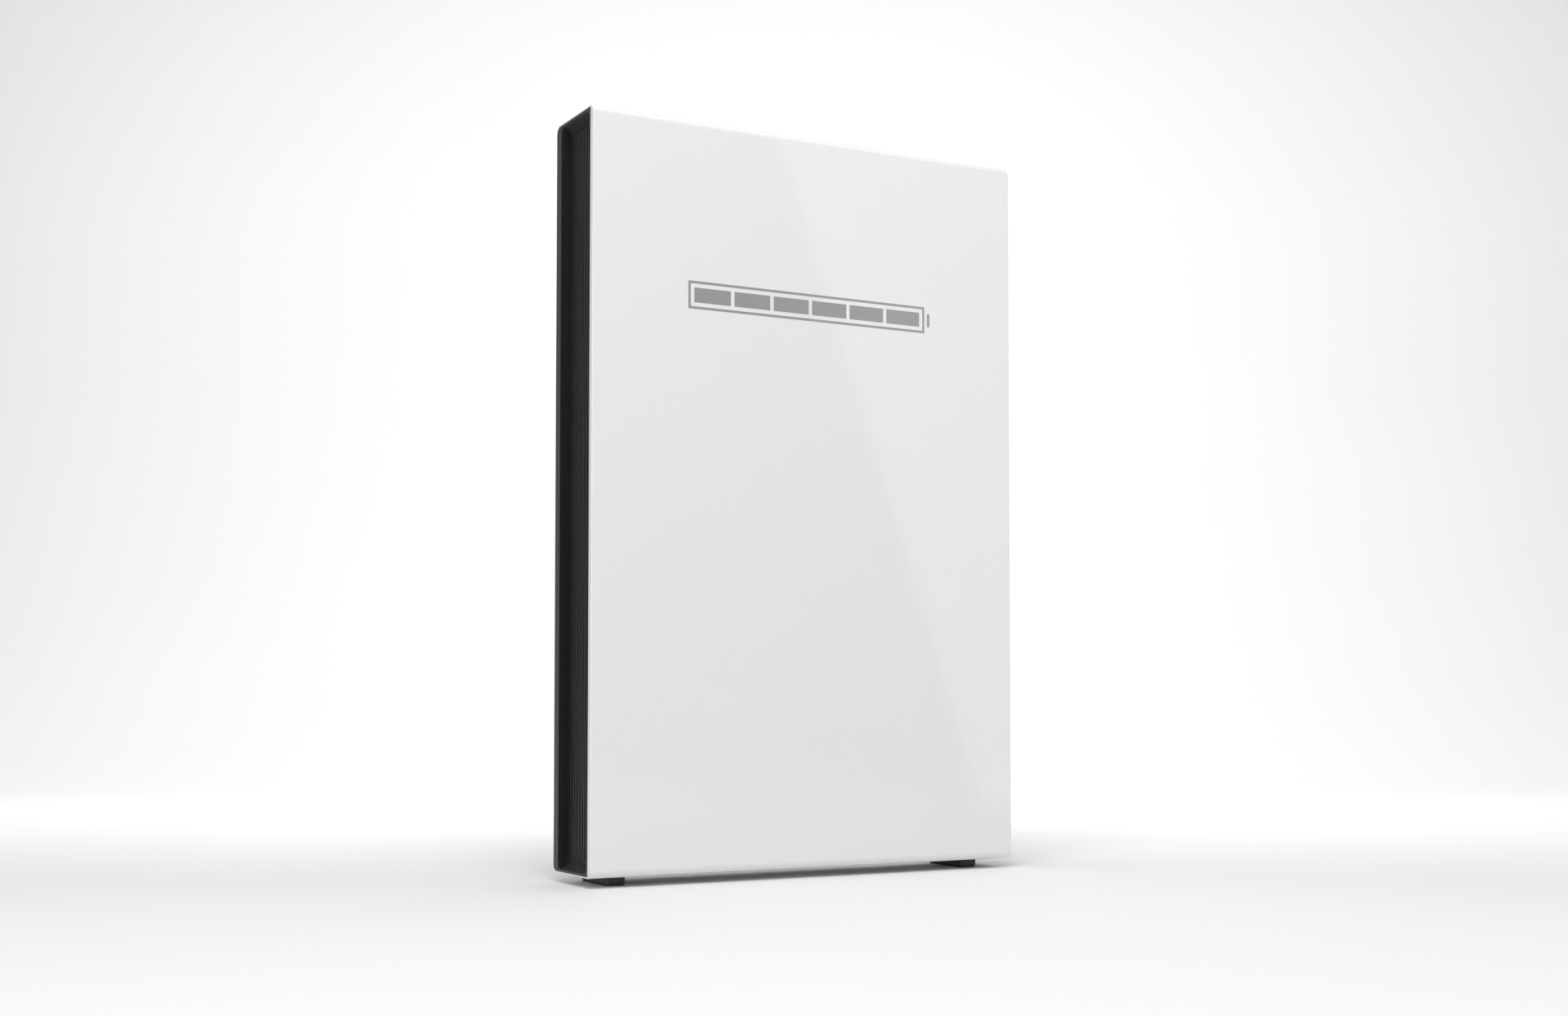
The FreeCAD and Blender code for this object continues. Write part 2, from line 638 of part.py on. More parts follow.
def front_cover():
    """The folded sheet: front, top and bottom in one, with turned side lips."""
    cover = Design("front_cover")
    cover.pad("YZ", (-half_width, half_width), rectangle((front, cover_rear), (base, top)))
    room = half_width - cover_wall
    cover.pocket("YZ", (-room, room),
                 rectangle((cover_inside, cover_rear + 1), (base + cover_wall, top - cover_wall)))
    cover.fillet(cover_radius - cover_wall, "X", Y=cover_inside)
    cover.fillet(cover_radius, "X", Y=front)
    cover.fillet(cover_edge_radius, "Z", Y=front)
    cover.pocket("YZ", (-half_width - 1, half_width + 1),
                 rectangle((front + lip_depth, cover_rear + 1), (base + cover_wall, top - cover_wall)))
    reach = neck_width / 2 + neck_gap
    slots = [rectangle((foot_place * side - reach, foot_place * side + reach),
                       (neck_front - neck_gap, cover_rear + 1)) for side in (-1, 1)]
    cover.pocket("XY", (base - 1, base + cover_wall + 1), several(slots))
    cover.pocket("XZ", (front - 1, front + emblem_depth), emblem_drawing())
    cover.done()
    emblem = Design("cover_emblem")
    emblem.pad("XZ", (front, front + emblem_depth), emblem_drawing())
    emblem.done()


def cover_fixings():
    """Studs inside the cover, and the sockets on the side panels that they push into."""
    levels = [base + body_height * share for share in (0.08, 0.5, 0.92)]
    points = [((half_width - stud_inset) * side, level) for side in (-1, 1) for level in levels]
    face = cover_inside + stud_head
    screws("cover_studs", "y", points, stud_radius + 2, stud_radius,
           (cover_inside, face), (face, face + stud_length))
    half = socket_width / 2
    parts = []
    for number, (across, level) in enumerate(points, 1):
        body = block(f"socket_{number}", (across - half, across + half),
                     (face + slide_gap, panel_front), (level - half, level + half))
        hole = rod(f"socket_hole_{number}", "y", (across, level), stud_radius + slide_gap,
                   (face, panel_front + 1))
        parts.append(cut(f"socket_cut_{number}", body, [hole]))
    keep("cover_sockets", group("cover_sockets", parts))


# ---------------------------------------------------------------- housing and side panels

def cleat_screw_points():
    """Where the screws of both cleats sit on the back plate."""
    places = [cleat_width * share for share in (-0.4, 0.4)]
    levels = [level + cleat_height - cleat_root / 2 for level in (upper_cleat_level, lower_cleat_level)]
    return [(across, level) for level in levels for across in places]


conduit_point = ((inverter_width + bay_gap) / 2, case_top - conduit_drop)


def rear_housing():
    """The back plate with its top and bottom flanges, one folded part."""
    housing = Design("rear_housing")
    housing.pad("YZ", (-panel_inner, panel_inner),
                rectangle((housing_front, rear), (chassis_bottom, chassis_top)))
    housing.pocket("YZ", (-panel_inner - 1, panel_inner + 1),
                   rectangle((housing_front - 1, back_plate), (inner_bottom, inner_top)))
    housing.fillet(rear_radius - housing_wall, "X", Y=back_plate)
    housing.fillet(rear_radius, "X", Y=rear)
    through = (back_plate - 1, rear + 1)
    housing.pocket("XZ", through, circles(insert_points, insert_radius))
    housing.pocket("XZ", through, circles([conduit_point], conduit_radius))
    housing.pocket("XZ", through, circles(cleat_screw_points(), lid_screw + bolt_gap))
    bolts = [(foot_place * side, place) for side in (-1, 1) for place in bolt_places]
    housing.pocket("XY", (chassis_bottom - 1, inner_bottom + 1), circles(bolts, bolt_radius + bolt_gap))
    housing.done()


def panel_blank():
    """The left side panel before its openings: a stepped dish with swept vertical fins."""
    panel = Design("panel_blank")
    panel.pad("YZ", (-half_width, -panel_inner),
              rectangle((panel_front, rear), (chassis_bottom, chassis_top)))
    panel.fillet(rear_radius, "X", Y=rear)
    panel.fillet(panel_corner, "X", Y=panel_front)
    low, high = chassis_bottom + rim_wall, chassis_top - rim_wall
    steps = 4
    for index in range(steps):
        inset = as_size(0) if index == 0 else ledge_width + step_width * (index - 1)
        panel.pocket("XZ", (panel_front + rim_wall + inset, dish_rear - inset),
                     cove(-half_width - 1, -half_width, step_depth * (index + 1) - half_width,
                          low, high, cove_rise))
    floor = step_depth * steps + fin_depth
    fins_front = panel_front + rim_wall + ledge_width + step_width * (steps - 1)
    fins_rear = dish_rear - ledge_width - step_width * (steps - 1)
    count = int((fins_rear - fins_front).number // fin_pitch.number)
    start = fins_rear - fin_pitch * (count - 1) - groove_width
    grooves = panel.pocket("XZ", (start, start + groove_width),
                           cove(-half_width - 1, -half_width, floor - half_width, low, high, cove_rise))
    middle = start + groove_width / 2
    spread = (middle - louvre_width / 2, middle + louvre_width / 2)
    slots = 6
    run = (high - low - cove_rise * 4 + louvre_bridge) / slots
    openings = []
    for index in range(slots):
        foot = low + cove_rise * 2 + run * index
        openings.append(rectangle(spread, (foot, foot + run - louvre_bridge)))
    louvres = panel.pocket("YZ", (floor - half_width - 1, 1 - panel_inner), several(openings))
    panel.row([grooves, louvres], "Y", fin_pitch, count)
    return panel.body


def window_spans():
    """The heights of the four status windows."""
    spans = []
    for index in range(4):
        low = window_level + (window_length + window_bridge) * index
        spans.append((low, low + window_length))
    return spans


def side_panels():
    """The left panel with its status windows, and the mirrored right one with its switch opening."""
    blank = panel_blank()
    ledge = dish_rear - ledge_width / 2
    across = (ledge - window_width / 2, ledge + window_width / 2)
    windows = [block(f"window_{number}", (-half_width - 1, 1 - panel_inner), across, span)
               for number, span in enumerate(window_spans(), 1)]
    keep("left_side_panel", cut("left_panel_cut", blank, windows))
    mirrored = DOC.addObject("Part::Mirroring", "right_panel_blank")
    mirrored.Source = blank
    mirrored.Normal = AXES["x"]
    rim = dish_rear + rear_rim / 2
    half = switch_width / 2 + switch_gap
    tall = switch_height / 2 + switch_gap
    well = block("switch_well", (panel_inner - 1, half_width + 1), (rim - half, rim + half),
                 (switch_level - tall, switch_level + tall))
    seat = block("bezel_seat", (half_width - bezel_recess, half_width + 1),
                 (rim - half - bezel_margin, rim + half + bezel_margin),
                 (switch_level - tall - bezel_margin, switch_level + tall + bezel_margin))
    keep("right_side_panel", cut("right_panel_cut", mirrored, [well, seat]))


def status_light():
    """The light guide behind the windows, and its strip of lamps."""
    ledge = dish_rear - ledge_width / 2
    reach = window_width / 2 - window_gap
    spans = window_spans()
    back = (-panel_inner, guide_back - panel_inner)
    wide = (ledge - reach - 2, ledge + reach + 2)
    tall = (spans[0][0] - guide_margin, spans[-1][1] + guide_margin)
    teeth = [block(f"guide_tooth_{number}", (step_depth + slide_gap - half_width, -panel_inner),
                   (ledge - reach, ledge + reach), (low + window_gap, high - window_gap))
             for number, (low, high) in enumerate(spans, 1)]
    keep("status_light_guide", fuse("guide", [block("guide_spine", back, wide, tall)] + teeth))
    keep("status_light_board", block("light_board", (back[1], back[1] + board_thickness), wide, tall))


def power_switch():
    """The switch body in the right rear rim, and the rocker that tilts in it."""
    rim = dish_rear + rear_rim / 2
    half = switch_width / 2
    tall = switch_height / 2
    seat = half_width - bezel_recess
    pivot = half_width - rocker_setback
    body = Design("switch_body")
    body.pad("YZ", (half_width - switch_depth, seat),
             rectangle((rim - half, rim + half), (switch_level - tall, switch_level + tall)))
    body.pad("YZ", (seat, seat + bezel_depth),
             rectangle((rim - half - bezel_margin, rim + half + bezel_margin),
                       (switch_level - tall - bezel_margin, switch_level + tall + bezel_margin)))
    room = rocker_width / 2 + slide_gap
    body.pocket("YZ", (pivot - rocker_room * 0.8, half_width),
                rectangle((rim - room, rim + room),
                          (switch_level - rocker_room, switch_level + rocker_room)))
    body.pocket("XZ", (rim - half - 1, rim + half + 1),
                circles([(pivot, switch_level)], rocker_pin + running_gap))
    body.done()
    rocker = Design("switch_rocker")
    nose = rocker_half * 0.68
    rocker.pad("XZ", (-(rocker_width / 2), rocker_width / 2),
               polygon([(nose * 0.7, 0), (nose, rocker_half), (-(nose / 4), rocker_half),
                        (-(nose * 0.7), 0), (-(nose / 4), -rocker_half), (nose, -rocker_half)]))
    rocker.pad("XZ", (-half, half), circles([(0, 0)], rocker_pin))
    place = rocker.body.Placement
    place.Rotation = FreeCAD.Rotation(AXES["y"], rocker_throw.number / 2)
    rocker.body.Placement = place
    bind(rocker.body, "Placement.Rotation.Angle", rocker_throw / 2)
    for axis, where in (("x", pivot), ("y", rim), ("z", switch_level)):
        bind(rocker.body, f"Placement.Base.{axis}", where)
    rocker.done()


# ---------------------------------------------------------------- feet and wall fixings

def feet():
    """Two floor bars with necks through the cover's slots, their pads and bolts."""
    half = foot_width / 2
    neck = neck_width / 2
    for label, side in (("left_foot", -1), ("right_foot", 1)):
        middle = foot_place * side
        foot = Design(label)
        foot.pad("XY", (pad_height, foot_top),
                 rectangle((middle - half, middle + half), (foot_start, foot_end)))
        foot.fillet(foot_radius, "Z")
        foot.pad("XY", (foot_top, chassis_bottom),
                 rectangle((middle - neck, middle + neck), (neck_front, neck_rear)))
        points = [(middle, place) for place in bolt_places]
        foot.pocket("XY", (pad_height - 1, chassis_bottom + 1), circles(points, bolt_radius + bolt_gap))
        foot.pocket("XY", (pad_height - 1, pad_height + bolt_head), circles(points, bolt_head + bolt_gap))
        foot.done()
    soles = []
    for number, side in enumerate((-1, 1), 1):
        middle = foot_place * side
        sole = Design(f"foot_pad_{number}")
        sole.pad("XY", (0, pad_height),
                 rectangle((middle - half + pad_inset, middle + half - pad_inset),
                           (foot_start + pad_inset, foot_end - pad_inset)))
        sole.fillet(foot_radius - pad_inset, "Z")
        soles.append(sole.body)
    keep("foot_pads", group("foot_pads", soles))
    bolts = [(foot_place * side, place) for side in (-1, 1) for place in bolt_places]
    seat = pad_height + bolt_head
    screws("foot_bolts", "z", bolts, bolt_head, bolt_radius,
           (pad_height + 1, seat), (seat, inner_bottom + housing_wall))


def hanging_cleats():
    """Two hooked strips on the back, their screws, and the threaded inserts beside them."""
    hook = cleat_depth / 2
    for label, level in (("upper_cleat", upper_cleat_level), ("lower_cleat", lower_cleat_level)):
        cleat = Design(label)
        head = level + cleat_height
        cleat.pad("YZ", (-(cleat_width / 2), cleat_width / 2),
                  polygon([(rear, head), (rear, head - cleat_root), (rear + hook, head - cleat_root),
                           (rear + hook, level), (rear + cleat_depth, level),
                           (rear + cleat_depth, head - cleat_root + hook),
                           (rear + hook, head - cleat_root + hook), (rear + hook, head)]))
        cleat.pocket("XZ", (rear - 1, rear + cleat_depth + 1),
                     circles([point for point in cleat_screw_points() if abs(
                         point[1].number - head.number) < cleat_root.number], lid_screw + bolt_gap))
        cleat.done()
    screws("cleat_screws", "y", cleat_screw_points(), lid_screw_head, lid_screw,
           (rear + hook, rear + hook + screw_head_height), (back_plate + 0.5, rear + hook))
    inserts = [tube(f"insert_{number}", "y", point, insert_radius, insert_bore,
                    (rear - insert_length, rear)) for number, point in enumerate(insert_points, 1)]
    keep("threaded_inserts", group("threaded_inserts", inserts))


# ---------------------------------------------------------------- battery

def lid_screw_points():
    """Where the battery lid's screws sit, around the middle of the tray's lip."""
    inset = tray_lip / 2
    across = tray_half - inset
    low, high = inner_bottom + inset, tray_top - inset
    points = [(across * share, level) for level in (low, high) for share in (-0.6, -0.2, 0.2, 0.6)]
    points += [(across * side, low + (high - low) * share) for side in (-1, 1)
               for share in (0.04, 0.27, 0.5, 0.73, 0.96)]
    return points


def battery_box():
    """The sealed tray, its gasket, lid and screws, and the coolant plate on its back."""
    outline = rectangle((-tray_half, tray_half), (inner_bottom, tray_top))
    lip = tray_half - tray_lip
    opening = rectangle((-lip, lip), (inner_bottom + tray_lip, tray_top - tray_lip))
    points = lid_screw_points()
    inside = tray_half - tray_wall
    tray = Design("battery_tray")
    tray.pad("XZ", (tray_front, back_plate), outline)
    tray.fillet(seat_radius, "X", Y=back_plate)
    tray.pocket("XZ", (tray_front + tray_wall, back_plate - tray_wall - seat_radius),
                rectangle((-inside, inside), (inner_bottom + tray_wall, tray_top - tray_wall)))
    tray.pocket("XZ", (tray_front - 1, back_plate - tray_wall), opening)
    tray.pocket("XZ", (tray_front - 1, tray_front + tray_lip), circles(points, lid_screw + bolt_gap))
    tray.pocket("YZ", (-tray_half - 1, -lip), circles([(port_level, level) for level in port_heights],
                                                    port_radius))
    tray.done()
    gasket = Design("lid_gasket")
    gasket.pad("XZ", (lid_back, tray_front), several([outline, opening]))
    gasket.pocket("XZ", (lid_back - 1, tray_front + 1), circles(points, lid_screw + bolt_gap))
    gasket.done()
    lid = Design("battery_lid")
    lid.pad("XZ", (lid_front, lid_back), outline)
    lid.pocket("XZ", (lid_front - 1, lid_back + 1), circles(points, lid_screw + bolt_gap))
    lid.done()
    screws("lid_screws", "y", points, lid_screw_head, lid_screw,
           (lid_front - screw_head_height, lid_front), (lid_front, tray_front + tray_lip - 2))
    plate = Design("coolant_plate")
    plate.pad("XZ", (plate_front, back_plate - tray_wall), opening)
    plate.pocket("YZ", (-lip - 1, 20 - lip), circles([(port_level, level) for level in port_heights],
                                                    port_bore))
    plate.done()
    fittings = [tube(f"fitting_{number}", "x", (port_level, level), port_radius, port_bore,
                     (-fitting_end, -lip)) for number, level in enumerate(port_heights, 1)]
    keep("coolant_fittings", group("coolant_fittings", fittings))


def battery_modules():
    """Two modules, one above the other, each with its tray, cell bricks and cover."""
    half = tray_half - tray_lip - module_play
    low = inner_bottom + tray_lip + module_play
    high = tray_top - tray_lip - module_play
    tall = (high - low - module_gap) / 2
    tray_mouth = plate_front - module_depth
    boards, busbars = [], []
    for name, foot in (("lower", low), ("upper", high - tall)):
        head = foot + tall
        tray = Design(f"{name}_module_tray")
        tray.pad("XZ", (tray_mouth, plate_front), rectangle((-half, half), (foot, head)))
        inside = half - module_wall
        tray.pocket("XZ", (tray_mouth - 1, plate_front - module_wall),
                    rectangle((-inside, inside), (foot + module_wall, head - module_wall)))
        tray.done()
        count = 7
        pitch = inside * 2 / count
        bricks = []
        for index in range(count):
            start = pitch * index - inside
            bricks.append(block(f"{name}_brick_{index + 1}",
                                (start + brick_gap / 2, start + pitch - brick_gap / 2),
                                (tray_mouth, plate_front - module_wall),
                                (foot + module_wall + brick_gap, head - module_wall - brick_gap)))
        keep(f"{name}_cell_bricks", group(f"{name}_cells", bricks))
        sheet = (tray_mouth - module_wall, tray_mouth)
        keep(f"{name}_module_cover", block(f"{name}_cover", (-half, half), sheet, (foot, head)))
        middle = (foot + head) / 2
        boards.append(block(f"{name}_board", (-(half * 0.7), half * 0.7),
                            (sheet[0] - board_thickness, sheet[0]), (middle - 24, middle + 24)))
        for index in range(count):
            start = pitch * index - inside + pitch / 4
            for level in (foot + tall * 0.2, head - tall * 0.2):
                busbars.append(block(f"{name}_busbar_{len(busbars) + 1}", (start, start + pitch / 2),
                                     (sheet[0] - busbar_thickness, sheet[0]),
                                     (level - busbar_width / 2, level + busbar_width / 2)))
    keep("monitor_boards", group("boards", boards))
    keep("module_busbars", group("busbars", busbars))


# ---------------------------------------------------------------- cooling

def cooling_loop():
    """Radiator behind the left panel, pump and reservoir on the lid, and the pipes between them."""
    side = (-panel_inner, radiator_thickness - panel_inner)
    depth = (-radiator_front, radiator_rear)
    half = radiator_tank / 2
    levels = (pump_level, port_heights[1])
    ports = ((-pipe_level, pump_level), (port_level, port_heights[1]))
    tanks = []
    for number, (level, port) in enumerate(zip(levels, ports), 1):
        body = block(f"tank_{number}", side, depth, (level - half, level + half))
        bore = rod(f"tank_bore_{number}", "x", port, port_bore, (side[1] - tank_bore, side[1] + 1))
        tanks.append(cut(f"tank_cut_{number}", body, [bore]))
    keep("radiator_tanks", group("tanks", tanks))
    core = Design("radiator_core")
    span = (side[0] + core_inset, side[1] - core_inset)
    foot, head = levels[0] + half, levels[1] - half
    core.pad("YZ", span, rectangle((depth[0] + core_inset, depth[1] - core_inset), (foot, head)))
    slot = core.pocket("YZ", (span[0] - 1, span[1] + 1),
                       rectangle((depth[0] + core_inset * 2, depth[1] - core_inset * 2),
                                 (foot + core_slot / 2, foot + core_slot * 1.5)))
    core.row([slot], "Z", core_pitch, int((head - foot).number // core_pitch.number))
    core.done()
    pump = (-pump_place, pump_level)
    joint = -pump_front
    barrel = rod("pump_barrel", "y", pump, pump_radius, (joint, lid_front))
    stubs = [rod("pump_inlet", "x", (-pipe_level, pump_level), pump_port_radius,
                 (-pump_place - pump_port, -pump_place)),
             rod("pump_outlet", "z", (-pump_place, -pipe_level), pump_port_radius,
                 (pump_level - pump_port, pump_level)),
             rod("pump_filler", "z", (-pump_place, -pipe_level), pump_port_radius,
                 (pump_level, pump_level + pump_port))]
    bores = [rod("inlet_bore", "x", (-pipe_level, pump_level), port_bore,
                 (-pump_place - pump_port - 1, -pump_place)),
             rod("standing_bore", "z", (-pump_place, -pipe_level), port_bore,
                 (pump_level - pump_port - 1, pump_level + pump_port + 1)),
             rod("pump_room", "y", pump, pump_cavity, (joint - 1, joint + pump_chamber))]
    post = rod("pump_post", "y", pump, pump_post, (joint + 1, lid_front))
    hollow = cut("pump_hollow", fuse("pump_shell", [barrel] + stubs), bores)
    keep("pump_housing", fuse("pump_whole", [hollow, post]))
    keep("pump_cap", rod("pump_lid", "y", pump, pump_radius, (joint - pump_cap_height, joint)))
    wheel = Design("pump_impeller")
    wheel.pad("XZ", (pump_chamber - 5, pump_chamber - 2), circles([(0, 0)], impeller_radius))
    wheel.pad("XZ", (2, pump_chamber - 2), circles([(0, 0)], pump_post * 2))
    vane = wheel.pad("XZ", (2, pump_chamber - 4),
                     rectangle((-1, 1), (pump_post * 1.7, impeller_radius - 1)))
    wheel.ring([vane], "Y", 6)
    wheel.pocket("XZ", (1, pump_chamber), circles([(0, 0)], pump_post + running_gap))
    for axis, where in (("x", -pump_place), ("y", joint), ("z", pump_level)):
        bind(wheel.body, f"Placement.Base.{axis}", where)
    wheel.done()
    keep("coolant_hoses", group("hoses", [
        tube("inlet_run", "x", (-pipe_level, pump_level), port_radius, port_bore,
             (side[1], -pump_place - pump_port)),
        tube("return_run", "x", (port_level, port_heights[1]), port_radius, port_bore,
             (side[1], -fitting_end)),
        tube("filler_run", "z", (-pump_place, -pipe_level), port_radius, port_bore,
             (pump_level + pump_port, pump_level + reservoir_rise))]))
    keep("supply_pipe", supply_pipe())
    reservoir()


def supply_pipe():
    """The formed pipe from the pump's outlet round to the lower coolant fitting."""
    x, y, z = -pump_place.number, -pipe_level.number, port_heights[0].number
    out, back, end = -pipe_out.number, port_level.number, -fitting_end.number
    points = [FreeCAD.Vector(x, y, (pump_level - pump_port).number), FreeCAD.Vector(x, y, z),
              FreeCAD.Vector(out, y, z), FreeCAD.Vector(out, back, z), FreeCAD.Vector(end, back, z)]
    bend = pipe_bend.number
    edges = []
    start = points[0]
    for before, corner, after in zip(points, points[1:], points[2:]):
        arrive = (corner - before).normalize()
        leave = (after - corner).normalize()
        first = corner - arrive * bend
        last = corner + leave * bend
        middle = corner + (leave - arrive) * bend * (1 - math.sqrt(0.5))
        edges.append(Part.LineSegment(start, first).toShape())
        edges.append(Part.Arc(first, middle, last).toShape())
        start = last
    edges.append(Part.LineSegment(start, points[-1]).toShape())
    path = Part.Wire(edges)
    shells = []
    for radius in (port_radius, port_bore):
        ring = Part.Wire([Part.Circle(points[0], AXES["z"], radius.number).toShape()])
        shells.append(path.makePipeShell([ring], True, False))
    item = DOC.addObject("Part::Feature", "supply_run")
    item.Shape = shells[0].cut(shells[1])
    return item


def reservoir():
    """The coolant reservoir above the pump, with its cap."""
    foot = pump_level + reservoir_rise
    head = foot + reservoir_height
    half = reservoir_width / 2
    tank = Design("coolant_reservoir")
    tank.pad("XY", (foot, head), rectangle((-pump_place - half, half - pump_place),
                                           (lid_front - reservoir_depth, lid_front)))
    tank.fillet(reservoir_radius, "Z", Y=lid_front - reservoir_depth)
    tank.pocket("XY", (foot - 1, foot + filler_depth), circles([(-pump_place, -pipe_level)], port_bore))
    tank.done()
    middle = lid_front - reservoir_depth / 2
    keep("reservoir_cap", rod("cap_round", "z", (-pump_place, middle), cap_radius,
                              (head, head + cap_height)))


def fan(name, level):
    """One square fan on the right panel: a frame with its shaft, and a bladed rotor."""
    frame = Design(f"{name}_fan_frame")
    half = fan_side / 2
    frame.pad("YZ", (-fan_depth, 0), rectangle((-half, half), (-half, half)))
    frame.fillet(5, "X")
    frame.pocket("YZ", (-fan_depth - 1, 1), circles([(0, 0)], fan_opening))
    frame.pad("YZ", (-fan_strut, 0), circles([(0, 0)], fan_hub))
    strut = frame.pad("YZ", (-fan_strut, 0), rectangle((-3, 3), (fan_hub - 2, fan_opening + 1)))
    frame.ring([strut], "X", 4)
    frame.pad("YZ", (1.5 - fan_depth, -fan_strut), circles([(0, 0)], fan_shaft))
    frame.done()
    rotor = Design(f"{name}_fan_rotor")
    back = -fan_strut - fan_end_gap
    rotor.pad("YZ", (1 - fan_depth, back), circles([(0, 0)], fan_hub))
    middle = (1 - fan_depth + back) / 2
    rise, run, thick = fan_rise / 2, fan_run / 2, fan_wall / 2
    blade = rotor.pad("XY", (fan_hub - 2, fan_tip),
                      polygon([(middle - rise - thick, -run), (middle - rise + thick, -run),
                               (middle + rise + thick, run), (middle + rise - thick, run)]))
    rotor.ring([blade], "X", 7)
    rotor.pocket("YZ", (-fan_depth, 0), circles([(0, 0)], fan_shaft + running_gap))
    for item in (frame, rotor):
        bind(item.body, "Placement.Base.x", panel_inner)
        bind(item.body, "Placement.Base.z", level)
        item.done()


# ---------------------------------------------------------------- electronics

def inverter():
    """The inverter case, its finned front, and the board with its power parts."""
    left, right = -tray_half, inverter_width - tray_half
    wall = case_wall
    case = Design("inverter_case")
    case.pad("XZ", (tray_front, back_plate), rectangle((left, right), (case_bottom, case_top)))
    case.fillet(seat_radius, "X", Y=back_plate)
    floor = back_plate - seat_radius
    case.pocket("XZ", (tray_front - 1, floor),
                rectangle((left + wall, right - wall), (case_bottom + wall, case_top - wall)))
    edge = wall + board_margin * 2
    points = [(across, level) for across in (left + edge, (left + right) / 2, right - edge)
              for level in (case_bottom + edge, case_top - edge)]
    face = floor - boss_height
    case.pad("XZ", (face, floor), circles(points, boss_radius))
    case.pocket("XZ", (face - 1, floor - 1), circles(points, lid_screw + bolt_gap))
    case.done()
    inset = wall + board_margin
    front_face = face - board_thickness
    board = Design("inverter_board")
    board.pad("XZ", (front_face, face),
              rectangle((left + inset, right - inset), (case_bottom + inset, case_top - inset)))
    board.pocket("XZ", (front_face - 1, face + 1), circles(points, lid_screw + bolt_gap))
    board.done()
    screws("board_screws", "y", points, lid_screw_head, lid_screw,
           (front_face - screw_head_height, front_face), (front_face, floor - 2))
    sink = Design("heat_sink")
    sink.pad("XZ", (tray_front - sink_plate, tray_front),
             rectangle((left, right), (case_bottom, case_top)))
    fin = sink.pad("XZ", (tray_front - sink_plate - sink_fin, tray_front - sink_plate),
                   rectangle((left, right), (case_bottom, case_bottom + sink_fin_wall)))
    tall = (case_top - case_bottom - sink_fin_wall).number
    sink.row([fin], "Z", sink_pitch, int(tall // sink_pitch.number) + 1)
    sink.done()
    stand = (front_face - capacitor_length, front_face)
    capacitors = [rod(f"capacitor_{number}", "y",
                      (left + capacitor_inset + capacitor_pitch * (number - 1), case_top - capacitor_drop),
                      capacitor_radius, stand) for number in range(1, 9)]
    keep("bus_capacitors", group("capacitors", capacitors))
    rings = [tube(f"inductor_{number}", "y", (left + inductor_pitch * number, case_bottom + inductor_rise),
                  inductor_radius, inductor_bore, (front_face - inductor_length, front_face))
             for number in (1, 2)]
    keep("power_inductors", group("inductors", rings))
    high = case_top - transistor_drop
    transistors = []
    for number in range(1, 9):
        start = left + transistor_inset + transistor_pitch * (number - 1)
        transistors.append(block(f"transistor_{number}", (start, start + transistor_side),
                                 (front_face - transistor_depth, front_face),
                                 (high - transistor_height, high)))
    keep("power_transistors", group("transistors", transistors))
    start, low = right - fuse_inset - fuse_length, case_bottom + fuse_rise
    holder = block("fuse_holder", (start, start + fuse_length), (front_face - fuse_base, front_face),
                   (low, low + fuse_height))
    link = rod("fuse_link", "x", (front_face - fuse_base - fuse_radius + 1, low + fuse_height / 2),
               fuse_radius, (start + fuse_end, start + fuse_length - fuse_end))
    keep("main_fuse", fuse("fuse_whole", [holder, link]))


def wiring_box():
    """The wiring compartment, its cover, terminals and the rear conduit hub."""
    left, right = inverter_width + bay_gap - tray_half, tray_half
    low, high = case_top - wiring_height, case_top
    face = back_plate - wiring_depth
    wall = wiring_wall
    box = Design("wiring_box")
    box.pad("XZ", (face, back_plate), rectangle((left, right), (low, high)))
    box.fillet(seat_radius, "X", Y=back_plate)
    floor = back_plate - seat_radius
    box.pocket("XZ", (face - 1, floor), rectangle((left + wall, right - wall), (low + wall, high - wall)))
    inset = wall + wiring_post / 2
    posts = [(across, level) for across in (left + inset, right - inset)
             for level in (low + inset, high - inset)]
    box.pad("XZ", (face, floor), circles(posts, wiring_post))
    box.pocket("XZ", (face - 1, face + 16), circles(posts, lid_screw + bolt_gap))
    box.pocket("XZ", (floor - 1, back_plate + 1), circles([conduit_point], conduit_radius))
    box.done()
    cover = Design("wiring_box_cover")
    cover.pad("XZ", (face - wall, face), rectangle((left, right), (low, high)))
    cover.pocket("XZ", (face - wall - 1, face + 1), circles(posts, lid_screw + bolt_gap))
    cover.done()
    screws("wiring_cover_screws", "y", posts, lid_screw_head, lid_screw,
           (face - wall - screw_head_height, face - wall), (face - wall, face + 14))
    keep("conduit_hub", tube("hub", "y", conduit_point, conduit_radius, conduit_bore,
                             (floor - conduit_flange, rear)))
    terminals = Design("terminal_block")
    span = (left + terminal_inset, right - terminal_inset)
    level, mouth = low + terminal_rise, floor - terminal_depth
    terminals.pad("XZ", (mouth, floor), rectangle(span, (level, level + terminal_height)))
    places = [span[0] + terminal_pitch * number for number in range(1, 7)]
    terminals.pocket("XZ", (mouth - 1, mouth + entry_depth),
                     circles([(across, level + entry_rise) for across in places], entry_radius))
    terminals.pocket("XZ", (mouth - 1, mouth + clamp_depth),
                     circles([(across, level + clamp_rise) for across in places], clamp_radius))
    terminals.done()


# ---------------------------------------------------------------- build and write

front_cover()
cover_fixings()
rear_housing()
side_panels()
status_light()
power_switch()
feet()
hanging_cleats()
battery_box()
battery_modules()
cooling_loop()
fan("upper", fan_high)
fan("lower", fan_low)
inverter()
wiring_box()
DOC.recompute()

faults = [item.Label for item in DOC.Objects if "Invalid" in item.State or "Error" in item.State]
if faults:
    raise RuntimeError(f"did not build: {faults}")
for label, item in PIECES.items():
    if item.Shape.isNull() or not item.Shape.isValid():
        raise RuntimeError(f"{label} has no valid shape")

